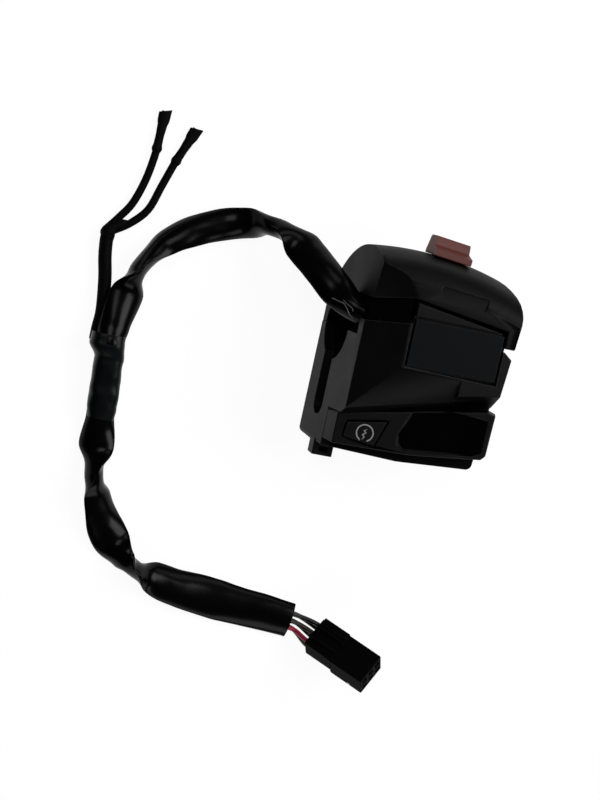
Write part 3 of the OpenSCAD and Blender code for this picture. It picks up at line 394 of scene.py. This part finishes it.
# %% Smooth routes
def smooth_route(points, steps):
    """Catmull-Rom curve through points given in millimetres, with steps stations between each two."""
    p = [Vector(q) * MM for q in points]
    p = [2 * p[0] - p[1]] + p + [2 * p[-1] - p[-2]]
    stations = []
    for a, b, c, d in zip(p, p[1:], p[2:], p[3:]):
        for i in range(steps):
            t = i / steps
            bend = (2 * a - 5 * b + 4 * c - d) * t**2 + (3 * b - a - 3 * c + d) * t**3
            stations.append(0.5 * (2 * b + (c - a) * t + bend))
    return stations + [p[-2]]


def route_length(stations):
    return sum((b - a).length for a, b in zip(stations, stations[1:]))


def on_table(points, z):
    return [(x, y, z) for x, y in points]


def keyed(keys, t):
    """The value at t of a line through (place, value) pairs, eased between them."""
    for (t0, v0), (t1, v1) in zip(keys, keys[1:]):
        if t <= t1:
            s = max(0, min(1, (t - t0) / (t1 - t0)))
            return v0 + (v1 - v0) * s * s * (3 - 2 * s)
    return keys[-1][1]


# %% Where the cords lie
SLEEVE_D, BRANCH_D, LEAD_D, WIRE_D = 9, 4.4, 2.2, 1.6
SLEEVE_Z, OVER_BRANCH_Z, BRANCH_Z, LEAD_Z = -10.5, -7.7, -12.8, -13.9
SLEEVE_ROUTE = [
    (-16, 5.2, 16.5), (-25, 7.7, 14.9), (-30.3, 11, 13.3), (-36, 16.2, 9.5), (-40.5, 20.4, 5),
    (-46.5, 25.2, -1), (-54.4, 26.9, -6),
    *on_table([(-63, 25.5), (-72.7, 22), (-81, 17.4), (-87.5, 11.5), (-91.6, 5)], SLEEVE_Z),
    (-94, -4, -9.6), (-95.6, -12, -8.3),
    *on_table([(-96.4, -18), (-96.4, -21)], OVER_BRANCH_Z),
]
TAIL_ROUTE = on_table([
    (-95.3, -34), (-95.3, -37), (-94.7, -43), (-94, -51), (-93.4, -59), (-92.2, -66), (-89, -74.5),
    (-85, -82), (-80, -88.4), (-73.4, -93.2), (-65.5, -96), (-57, -98), (-48, -99), (-39, -100.2),
    (-29, -101.2), (-20, -102.1), (-17, -102.5),
], SLEEVE_Z)
BRANCH_ROUTE = on_table([
    (-100.9, -21), (-100.9, -17), (-100.7, -11), (-101.9, -1), (-103.3, 6), (-103.9, 11),
    (-103.9, 13),
], BRANCH_Z)
LEAD_ROUTES = {
    "lead_one": on_table([
        (-105, 13), (-105, 14.6), (-101.6, 19), (-98, 24.5), (-95.4, 32.5), (-94, 41),
        (-93.7, 47.5),
    ], LEAD_Z),
    "lead_two": on_table([
        (-102.7, 13), (-102.7, 14.2), (-97.8, 17.8), (-92.6, 23.6), (-89.8, 32), (-87.2, 40),
        (-85.4, 44.6),
    ], LEAD_Z),
}
print("points on the sleeve's route:", len(SLEEVE_ROUTE), "and on the tail's:", len(TAIL_ROUTE))


# %% Rings and skins
def piece(name, bm, slot, body="housing", sharp=40, finish=None):
    """A finished object from a bmesh, with smooth faces, a finish and the body that it moves with."""
    mesh = bpy.data.meshes.new(name)
    bm.to_mesh(mesh)
    bm.free()
    mesh.shade_smooth()
    mesh.set_sharp_from_angle(angle=radians(sharp))
    made = bpy.data.objects.new(name, mesh)
    scene.collection.objects.link(made)
    made.data.materials.append(finish or finishes[slot])
    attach(made, body)
    return made


def ring_at(bm, middle, ahead, turn, half, sides, pinch=0.55):
    """A lens-shaped ring. half holds its half width and half thickness, and turn rolls it from
    lying flat."""
    side = Vector((0, 0, 1)).cross(ahead).normalized()
    rise = ahead.cross(side)
    across = side * cos(turn) + rise * sin(turn)
    through = rise * cos(turn) - side * sin(turn)
    ring = bmesh.ops.create_circle(bm, segments=sides, radius=1)["verts"]
    for vert in ring:
        x, y = vert.co.x, vert.co.y
        vert.co = middle + across * half[0] * x + through * half[1] * y * abs(y) ** pinch
    return ring


def skin_over(bm, rings):
    """Bridges each ring to the next and closes both ends."""
    for ring, following in zip(rings, rings[1:]):
        chosen = set(ring) | set(following)
        edges = {e for v in chosen for e in v.link_edges if e.other_vert(v) in chosen}
        edges = [e for e in edges if (e.verts[0] in set(ring)) == (e.verts[1] in set(ring))]
        bmesh.ops.bridge_loops(bm, edges=edges)
    bm.faces.new(rings[0])
    bm.faces.new(rings[-1])
    bmesh.ops.recalc_face_normals(bm, faces=bm.faces)
    bm.normal_update()


# %% Vinyl tubes
FILM = 0.45
HOLLOW = 12
FOLD, FOLDS, FOLD_SLANT, FOLD_REACH = 0.35, 3, 25, 0.06
BROAD_DENT, BROAD_PER_METRE = 0.3, 90
FINE_DENT, FINE_PER_METRE = 0.05, 300
GRIPPED, LOOSENING, MOUTH = 0.09, 0.05, 0.97


def vinyl_tube(route, turns, halves, twists, steps=8, sides=48, hollow=False):
    """turns, halves and twists are placed by the share of the length: degrees from lying flat, half
    sizes in mm, and where the tube is wrung."""
    stations = smooth_route(route, steps)
    whole = route_length(stations)
    bm = bmesh.new()
    rings, middles, shares, shapes, gone = [], [], [], [], 0
    for i, here in enumerate(stations):
        before, after = stations[max(i - 1, 0)], stations[min(i + 1, len(stations) - 1)]
        gone += (here - before).length if i else 0
        share = gone / whole
        turn = radians(keyed(turns, share))
        half = [keyed([(t, h[k]) for t, h in halves], share) * MM for k in (0, 1)]
        ahead = (after - before).normalized()
        stands = sqrt((half[0] * sin(turn)) ** 2 + (half[1] * cos(turn)) ** 2)
        middle = here + Vector((0, 0, stands - SLEEVE_D / 2 * MM))
        rings.append(ring_at(bm, middle, ahead, turn, half, sides))
        middles.append(middle)
        shares.append(share)
        shapes.append((middle, ahead, turn, [h - FILM * MM for h in half]))
    outer = len(rings)
    if hollow:
        rings += [ring_at(bm, *shape, sides) for shape in reversed(shapes[-HOLLOW:])]
    skin_over(bm, rings)
    for ring, share in zip(rings[:outer], shares):
        near = sum(exp(-((share - t) / FOLD_REACH) ** 2) for t in twists)
        from_hold = MOUTH - share if hollow else share - GRIPPED
        free = max(0, min(1, from_hold / LOOSENING))
        for j, vert in enumerate(ring):
            crease = abs(sin(FOLDS * pi * j / sides + FOLD_SLANT * share))
            fold = FOLD * near * (1 - 2 * crease)
            dent = BROAD_DENT * noise.noise(vert.co * BROAD_PER_METRE)
            dent += FINE_DENT * noise.noise(vert.co * FINE_PER_METRE)
            vert.co += vert.normal * (fold + dent) * free * MM
            vert.co.z = max(vert.co.z, TABLE)
    return bm, rings, middles


# %% Sleeve
sleeve_turns = [
    (0, 0), (0.29, 12), (0.385, 90), (0.46, 165), (0.56, 185), (0.68, 212), (0.785, 270),
    (0.86, 345), (1, 360),
]
sleeve_halves = [
    (0, (4.45, 4.4)), (0.075, (4.5, 4.3)), (0.15, (5.8, 3)), (0.28, (6.1, 2.6)),
    (0.385, (4.8, 3.2)), (0.48, (5.4, 2.7)), (0.6, (5.2, 2.8)), (0.785, (4.6, 2.9)),
    (0.87, (5.9, 2.4)), (0.95, (5.2, 2.8)), (1, (4.7, 3.3)),
]
sleeve_bm, sleeve_rings, sleeve_middles = vinyl_tube(
    SLEEVE_ROUTE, sleeve_turns, sleeve_halves, (0.385, 0.785)
)
LIPS = [
    [(16, 43), (14, 44), (12, 45), (10, 44), (9, 43), (7, 41)],
    [(13, 46), (12, 46), (10, 46), (9, 46), (8, 45)],
]
lip_lines = [smooth_route([sleeve_rings[k][j].co / MM for k, j in lip], 4) for lip in LIPS]
sleeve = piece("harness_sleeve_skin", sleeve_bm, "sleeve_vinyl", sharp=50)
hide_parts("harness_sleeve")
print("sleeve", round(route_length(sleeve_middles) / MM, 1), "mm long")

# %% Tail
tail_turns = [
    (0, 0), (0.11, 5), (0.17, 20), (0.245, 90), (0.31, 150), (0.43, 180), (0.5, 220), (0.535, 270),
    (0.6, 345), (1, 360),
]
tail_halves = [
    (0, (4.6, 3.5)), (0.08, (4.6, 3.2)), (0.17, (6, 2.5)), (0.245, (4.6, 3.2)), (0.33, (5.5, 2.7)),
    (0.43, (6.3, 2.4)), (0.535, (4.6, 2.9)), (0.64, (6.1, 2.3)), (0.75, (6.8, 2)),
    (0.88, (6.4, 2.2)), (1, (6, 2.4)),
]
tail_bm, _, tail_middles = vinyl_tube(
    TAIL_ROUTE, tail_turns, tail_halves, (0.245, 0.535), hollow=True
)
tail = piece("harness_tail_skin", tail_bm, "sleeve_vinyl", sharp=50)
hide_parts("harness_tail")
print("tail", round(route_length(tail_middles) / MM, 1), "mm long")

# %% [markdown]
# ## Tape at the fork
# Tape holds the branch to the sleeve. It is wound on in a slant, so each turn leaves a low step.
# We loft soft rings from the wide end to the narrow one, and add the steps with a saw-tooth that
# climbs round the band. Both ends taper gently until they sink into the film.

# %% Tape
TAPE_SHAPE = [
    (0, (-97.3, 6, 4.75)), (0.12, (-97.1, 5.8, 4.6)), (0.3, (-95.6, 4.7, 4.1)),
    (0.6, (-95, 4.85, 3.8)), (1, (-94.4, 4.9, 3.35)),
]
TAPE_Y = (-18, -46)
TURNS = 4
TAPE_STEP, TAPE_DENT, TAPE_TUCK, TUCK_SHARE = 0.08, 0.3, 0.45, 0.12
TAPE_FOOT = -15
SQUARED = 0.75


def tape_band(stations=61, sides=48):
    bm = bmesh.new()
    rings = []
    for i in range(stations):
        t = i / (stations - 1)
        tuck = TAPE_TUCK * max(0, 1 - min(t, 1 - t) / TUCK_SHARE)
        middle_x, wide, high = [keyed([(s, v[k]) for s, v in TAPE_SHAPE], t) for k in range(3)]
        y = TAPE_Y[0] + (TAPE_Y[1] - TAPE_Y[0]) * t
        ring = bmesh.ops.create_circle(bm, segments=sides, radius=1)["verts"]
        for j, vert in enumerate(ring):
            step = TAPE_STEP * ((TURNS * t + j / sides) % 1)
            dent = TAPE_DENT * noise.noise(Vector((j / 9, 7 * t, 0.5)))
            grow = step + dent - tuck
            soft_x, soft_z = [abs(c) ** SQUARED * (1 if c > 0 else -1) for c in vert.co.xy]
            x, z = middle_x + (wide + grow) * soft_x, TAPE_FOOT + high + (high + grow) * soft_z
            vert.co = Vector((x, y, z)) * MM
            vert.co.z = max(vert.co.z, TABLE)
        rings.append(ring)
    skin_over(bm, rings)
    return bm


tape = piece("tape_wrap_skin", tape_band(), "sleeve_vinyl", sharp=50, finish=tape_satin)
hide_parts("tape_wrap")
print("tape faces:", len(tape.data.polygons))

# %% [markdown]
# ## Branch, leads and lips
# The branch is a round sleeve, and its two leads are round wire. A curve with a bevel depth is the
# plain way to make a round cord, and its own line is the cord's centreline. The leads swell a
# little past the fork. The sleeve's film is cut on a slant where it enters the case, and the cut
# shows as two thin lips that follow points of the sleeve's own rings. Their pale grey is a painted
# highlight.

# %% Round cords
SWELL_FROM, SWELL_TO, ROUTE_END = 6, 12, 99


def round_cord(name, stations, diameter, slot, finish=None, swell=1):
    line = bpy.data.curves.new(name, "CURVE")
    line.dimensions = "3D"
    line.bevel_depth = diameter / 2 * MM
    line.bevel_resolution = 6
    line.use_fill_caps = True
    spline = line.splines.new("POLY")
    spline.points.add(len(stations) - 1)
    for i, (point, place) in enumerate(zip(spline.points, stations)):
        point.radius = keyed([(0, 1), (SWELL_FROM, 1), (SWELL_TO, swell), (ROUTE_END, swell)], i)
        lowest = TABLE + diameter / 2 * point.radius * MM
        point.co = (place.x, place.y, max(place.z, lowest), 1)
    spline.use_smooth = True
    made = bpy.data.objects.new(name, line)
    scene.collection.objects.link(made)
    line.materials.append(finish or finishes[slot])
    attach(made, "housing")
    return made


# %% Branch, leads and lips
LEAD_SWELL = 1.18
branch_line = smooth_route(BRANCH_ROUTE, 5)
branch = round_cord("branch_sleeve_skin", branch_line, BRANCH_D, "wire_black")
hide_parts("branch_sleeve")
leads = {}
for name, route in LEAD_ROUTES.items():
    line = smooth_route(route, 5)
    leads[name] = round_cord(name + "_wire", line, LEAD_D, "wire_black", swell=LEAD_SWELL), line
    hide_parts(name)
# The lips' pale grey is a painted highlight along the cut edge of the film.
lip_highlight_finish = finish_of("film edge painted highlight", (0.1, 0.1, 0.1), 0.4)
LIP_D = 0.3
lips = [
    round_cord(f"mouth_lip_{i}", line, LIP_D, "sleeve_vinyl", lip_highlight_finish)
    for i, line in enumerate(lip_lines)
]
for name, line in [("branch", branch_line), *[(name, line) for name, (_, line) in leads.items()]]:
    print(name, round(route_length(line) / MM, 1), "mm long")

# %% [markdown]
# ## Boots and the fork's cuff
# Each lead ends in a soft boot over its terminal. The boot bulges over the crimp, grips the wire,
# then flattens and widens to an open end that is cut on a slant. The same ring loft makes it. A
# short cuff covers the place where the leads part.

# %% Boots
BOOT_BACK, BOOT_REACH, BOOT_STEP = 5, 8.5, 0.5
BOOT_Z = 1.3
BOOT_SHAPE = [
    (-BOOT_BACK, (1.4, 1.35)), (-4, (1.75, 1.5)), (-2.4, (1.45, 1.3)), (0, (1.4, 1.2)),
    (3.5, (1.6, 1.1)), (5.5, (2, 1)), (BOOT_REACH, (2.05, 0.95)),
]
BOOT_FILM, LINED_RINGS = 0.35, 8
SLANT, SLANT_FROM = 0.35, 6
boot_steps = round((BOOT_BACK + BOOT_REACH) / BOOT_STEP)
places = [-BOOT_BACK + BOOT_STEP * k for k in range(boot_steps + 1)]
boot_rings = [(0, s) for s in places] + [(BOOT_FILM, s) for s in reversed(places[-LINED_RINGS:])]


def along_lead(line, left):
    """The place and the course of a line, left metres before its end."""
    back = len(line) - 1
    while back > 0 and left > (line[back] - line[back - 1]).length:
        left -= (line[back] - line[back - 1]).length
        back -= 1
    stretch = line[back] - line[back - 1]
    return line[back].lerp(line[back - 1], left / stretch.length), stretch.normalized()


bm = bmesh.new()
for lead, line in leads.values():
    end, ahead = line[-1], (line[-1] - line[-2]).normalized()
    side = Vector((0, 0, 1)).cross(ahead)
    rings = []
    for inner, along in boot_rings:
        if along < 0:
            here, course = along_lead(line, -along * MM)
        else:
            here, course = end + ahead * along * MM, ahead
        outside = [keyed([(s, h[k]) for s, h in BOOT_SHAPE], along) for k in (0, 1)]
        here = Vector((here.x, here.y, TABLE + max(BOOT_Z, outside[1]) * MM))
        half = [(h - inner) * MM for h in outside]
        ring = ring_at(bm, here, course, 0, half, 20, pinch=0)
        for vert in ring:
            cut = max(0, (along - SLANT_FROM) / (BOOT_REACH - SLANT_FROM))
            vert.co -= ahead * (vert.co - here).dot(side) * SLANT * cut
        rings.append(ring)
    skin_over(bm, rings)
boots = piece("lead_boots_skin", bm, "sleeve_vinyl", sharp=50, finish=finishes["wire_black"])
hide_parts("lead_boots")
print("boot faces:", len(boots.data.polygons))

# %% Fork cuff
CUFF_FROM, CUFF_TO, CUFF_STEP = 11.5, 19, 0.5
CUFF = [
    (CUFF_FROM, (2.2, 2.15)), (13, (2.3, 2.25)), (14, (2.2, 1.8)), (16, (2.7, 1.5)),
    (CUFF_TO, (2.5, 1.1)),
]
CUFF_X = [(CUFF_FROM, -103.9), (14.5, -103.7), (CUFF_TO, -100)]
bm = bmesh.new()
rings = []
for k in range(round((CUFF_TO - CUFF_FROM) / CUFF_STEP) + 1):
    y = CUFF_FROM + CUFF_STEP * k
    half = [keyed([(s, h[i]) for s, h in CUFF], y) * MM for i in (0, 1)]
    middle = Vector((keyed(CUFF_X, y) * MM, y * MM, TABLE + half[1]))
    rings.append(ring_at(bm, middle, Vector((0, 1, 0)), 0, half, 24, pinch=0))
skin_over(bm, rings)
cuff = piece("fork_cuff", bm, "wire_black", sharp=50)
print("cuff faces:", len(cuff.data.polygons))

# %% [markdown]
# ## Wires at the plug
# Six coloured wires leave the sleeve's open end and go into the plug, one to each way. They are
# curves through the same places as the solid wires: the sleeve's mouth, then straight into a way.

# %% Wires at the plug
PLUG_AT = Vector((-8, -106, -9.97))
PLUG_TURN, PLUG_PITCH, PLUG_ROLL = radians(-20), radians(-35), radians(-27)
WAYS = [(y, z) for y in (-3.5, 0, 3.5) for z in (-2, 2)]
WIRE_TONES = {
    "white": (0.1, 0.085, 0.065), "red": (0.3, 0.01, 0.04), "brown": (0.04, 0.012, 0.008),
    "grey": (0.025, 0.019, 0.016), "green": (0.008, 0.016, 0.006), "black": (0.003, 0.003, 0.003),
}
BUNDLE, PULL = 0.7, 2.4
WIRE_BACK, WIRE_STARTS, WIRE_ENDS, SWING_STEPS = 5, -0.6, 3.99, 16
plug_turned = Matrix.Rotation(PLUG_TURN, 3, "Z")
plug_turned = plug_turned @ Matrix.Rotation(PLUG_PITCH, 3, "Y") @ Matrix.Rotation(PLUG_ROLL, 3, "X")


def in_plug(x, y, z):
    return (PLUG_AT + plug_turned @ Vector((x, y, z))) * MM


mouth, before_mouth = tail_middles[-1], tail_middles[-9]
course = ((mouth - before_mouth) * Vector((1, 1, 0))).normalized()
beside = Vector((0, 0, 1)).cross(course)
for (y, z), (colour, tone) in zip(WAYS, WIRE_TONES.items()):
    a = mouth + (beside * y + Vector((0, 0, z / 2))) * BUNDLE * MM
    b, c = a + course * MM, in_plug(WIRE_STARTS, y, z)
    b_pull, c_pull = b + course * PULL * MM, in_plug(WIRE_STARTS - PULL, y, z)
    swing = [
        b * (1 - t) ** 3 + 3 * b_pull * t * (1 - t) ** 2 + 3 * c_pull * t**2 * (1 - t) + c * t**3
        for t in [k / SWING_STEPS for k in range(SWING_STEPS + 1)]
    ]
    line = [a - course * WIRE_BACK * MM, a, *swing, in_plug(WIRE_ENDS, y, z)]
    insulation = finish_of(f"insulation {colour}", tone, 0.4, grain=1200)
    round_cord(f"pigtail_{colour}", line, WIRE_D, "wire_black", insulation)
    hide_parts("pigtail_wires")

# %% [markdown]
# ## Moulded pieces
# The shells, plate, ledge, button and knob already have their shapes in the frame. Real mouldings
# have no knife edges, so a copy of each mesh is merged, cleaned of flat seams and bevelled along
# its long edges, where the light catches. Two corners of the lower shell are rounder, as the real
# ones are. A bevel can leave slivers without area, so those faces are split again, and on the domed
# crown all many-sided faces are. Weighted normals then keep the shading even across small faces.

# %% Moulded pieces
SAME_PLACE, SLIVER, NO_AREA = 0.001 * MM, 0.002 * MM, 0.0001 * MM**2
FLAT_SEAM, CREASE = radians(0.3), radians(25)
LONG, CROWDED = 4, 2.5


def round_off(bm, edges, width, segments):
    bmesh.ops.bevel(
        bm, geom=edges, offset=width, offset_type="OFFSET", segments=segments, profile=0.5,
        affect="EDGES", clamp_overlap=False, material=-1,
    )


def moulded(node, rounding, body="housing", sharp=35, finish=None, corners=(), split=False):
    name = node + "_moulded"
    bm = bmesh.new()
    bm.from_mesh(frame["nodes"][node].data)
    bmesh.ops.remove_doubles(bm, verts=bm.verts, dist=SAME_PLACE)
    bmesh.ops.dissolve_limit(bm, angle_limit=FLAT_SEAM, verts=bm.verts, edges=bm.edges)
    for middle, radius in corners:
        goal = Vector(middle) * MM
        edge = min(bm.edges, key=lambda e: ((e.verts[0].co + e.verts[1].co) / 2 - goal).length)
        round_off(bm, [edge], radius * MM, 6)
    width = rounding * MM
    crowded = {v for v in bm.verts if min(e.calc_length() for e in v.link_edges) < CROWDED * width}
    long_edges = [
        e for e in bm.edges
        if e.is_manifold and e.calc_face_angle() > CREASE and e.calc_length() > LONG * width
        and not (crowded & set(e.verts))
    ]
    round_off(bm, long_edges, width, 3)
    bmesh.ops.dissolve_degenerate(bm, dist=SLIVER, edges=bm.edges)
    thin = {
        loops[0].face for loops in bm.calc_loop_triangles()
        if area_tri(*[loop.vert.co for loop in loops]) < NO_AREA
    }
    to_split = [f for f in bm.faces if f in thin or (split and len(f.verts) > 4)]
    bmesh.ops.triangulate(bm, faces=to_split, ngon_method="BEAUTY")
    print(node, "edges rounded:", len(long_edges))
    slot = next(p["material_slot"] for p in frame["record"]["subparts"] if p["node"] == node)
    made = piece(name, bm, slot, body, sharp, finish)
    shading = made.modifiers.new("even shading", "WEIGHTED_NORMAL")
    shading.keep_sharp = True
    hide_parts(node)
    return made


# %% Round the mouldings
moulded("upper_case", 0.4, finish=crown_dull, split=True)
moulded("lower_case", 0.35, corners=[((-26.8, -38.5, -7.5), 2), ((23.4, -35.7, 4.2), 1.6)])
moulded("blank_plate", 0.3, finish=plate_satin)
moulded("kill_knob", 0.4, "kill_slider")
moulded("start_button", 0.25, "start_plunger", finish=ledge_satin)
plug = moulded("connector_housing", 0.4)
ledge = moulded("thumb_ledge", 0.5, finish=ledge_satin)

# %% [markdown]
# ## The start spring
# A coil spring under the button pushes it back out. It stays in the switch and shortens as the
# button goes in. We copy its mesh, find the foot of the spring along the press, and let the copy
# ride with the housing; it is not squashed here.

# %% Start spring
PRESS = next(j for j in frame["record"]["behaviour"]["joints"] if j["name"] == "start_press")
spring_bm = bmesh.new()
spring_bm.from_mesh(frame["nodes"]["start_spring"].data)
bmesh.ops.remove_doubles(spring_bm, verts=spring_bm.verts, dist=SAME_PLACE)
press_axis = Vector(PRESS["axis"])
foot = max((v.co for v in spring_bm.verts), key=lambda place: place.dot(press_axis)).copy()
spring = piece("start_spring_coil", spring_bm, "steel")
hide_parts("start_spring")
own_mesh(spring)

# %% [markdown]
# ## The polished scoop
# The ledge is grained, but the hollow for the thumb is polished. It is the same moulding, so the
# faces of the hollow get a second material. They are the ones that face out of the ledge and lie
# below its top, measured in the ledge's own turned axes.

# %% Scoop
LEDGE_TURN = radians(17.2)
LEDGE_AT = Vector((0, -38.5, 26)) * MM
SCOOP_DEEPEST, SCOOP_SHALLOWEST, FACES_OUT = -3 * MM, -0.05 * MM, 0.8
ledge_axes = Matrix.Rotation(-LEDGE_TURN, 3, "Y")
ledge_out = ledge_axes @ Vector((0, 0, 1))
ledge.data.materials.append(finishes["ledge_gloss"])
polished = 0
for face in ledge.data.polygons:
    depth = (face.center - LEDGE_AT).dot(ledge_out)
    in_hollow = SCOOP_DEEPEST < depth < SCOOP_SHALLOWEST
    if in_hollow and face.normal.dot(ledge_out) > FACES_OUT:
        face.material_index = 1
        polished += 1
print("polished faces:", polished)

# %% [markdown]
# ## The label recess
# A shallow recess in the crown takes a label. It is bare here. From above its walls hide, and what
# shows is the shade at the foot of two of them. That shade is painted: a thin dark curve along that
# foot draws it.

# %% Label recess
LABEL_AT, LABEL_W, LABEL_H, LABEL_TURN = Vector((4.6, 17.8, 32.5)), 15.5, 3.9, radians(-5.5)
LABEL_SHADE_D = 0.3
ways = ((-1, 0.5), (-1, 1), (1, 1), (1, -1))
corners = [Vector((sx * LABEL_W / 2, sy * LABEL_H / 2, 0)) for sx, sy in ways]
label_turned = Matrix.Rotation(LABEL_TURN, 3, "Z")
label_shade_line = [(LABEL_AT + label_turned @ corner) * MM for corner in corners]
# Painted shade: a dark curve at the foot of two recess walls.
round_cord("label_recess_shade_line", label_shade_line, LABEL_SHADE_D, "case_black", finishes["rubber_black"])
print("label line", round(route_length(label_shade_line) / MM, 1), "mm long")

# %% [markdown]
# ## The start symbol
# The start button carries the usual sign: a ring open at the bottom with a bolt through it. It is
# thin paint, so the ring is a flat bar spun round most of a turn and the bolt is one face pushed up
# by a hair. The sign rides on the button, and goes in with it.

# %% Start symbol
SIGN_AT = Vector((-15.4, 8, 0.7))
RING_R, LINE_W, PAINT = 2.65, 0.42, 0.05
OPENING = radians(50)
ZIGZAG = [(0.7, 1.5), (-0.3, 0.75), (0.35, 0.1), (-0.6, -0.7), (0.1, -1.3), (-0.6, -2.3)]
BOLT_W = 0.25
BOLT = [
    ZIGZAG[0], *[(x + BOLT_W, y) for x, y in ZIGZAG[1:-1]],
    ZIGZAG[-1], *[(x - BOLT_W, y) for x, y in ZIGZAG[-2:0:-1]],
]


def ledge_place(p):
    return LEDGE_AT + ledge_axes @ (SIGN_AT + p) * MM


bm = bmesh.new()
inner, outer = RING_R - LINE_W / 2, RING_R + LINE_W / 2
bar = [(inner, -PAINT), (outer, -PAINT), (outer, PAINT), (inner, PAINT)]
start = -pi / 2 + OPENING / 2
bar_face = bm.faces.new([bm.verts.new((x * cos(start), x * sin(start), z)) for x, z in bar])
bmesh.ops.spin(
    bm, geom=[bar_face, *bar_face.edges, *bar_face.verts], cent=(0, 0, 0), axis=(0, 0, 1),
    angle=2 * pi - OPENING, steps=48, use_duplicate=False,
)
bolt_face = bm.faces.new([bm.verts.new((x, y, -PAINT)) for x, y in BOLT])
raised = bmesh.ops.extrude_face_region(bm, geom=[bolt_face], use_keep_orig=True)["geom"]
raised_verts = [part for part in raised if isinstance(part, bmesh.types.BMVert)]
bmesh.ops.translate(bm, verts=raised_verts, vec=(0, 0, 2 * PAINT))
for vert in bm.verts:
    vert.co = ledge_place(vert.co)
bmesh.ops.recalc_face_normals(bm, faces=bm.faces)
sign = piece("start_symbol", bm, "carrier_white", "start_plunger", finish=symbol_white)
print("symbol faces:", len(sign.data.polygons))

# %% [markdown]
# ## What the cords are
# The cords are the sleeve, the tail, the branch and the two leads, and here only their number is
# printed. The photograph shows them from end to end, so the routes give the lengths.

print("cords declared:", 3 + len(leads))
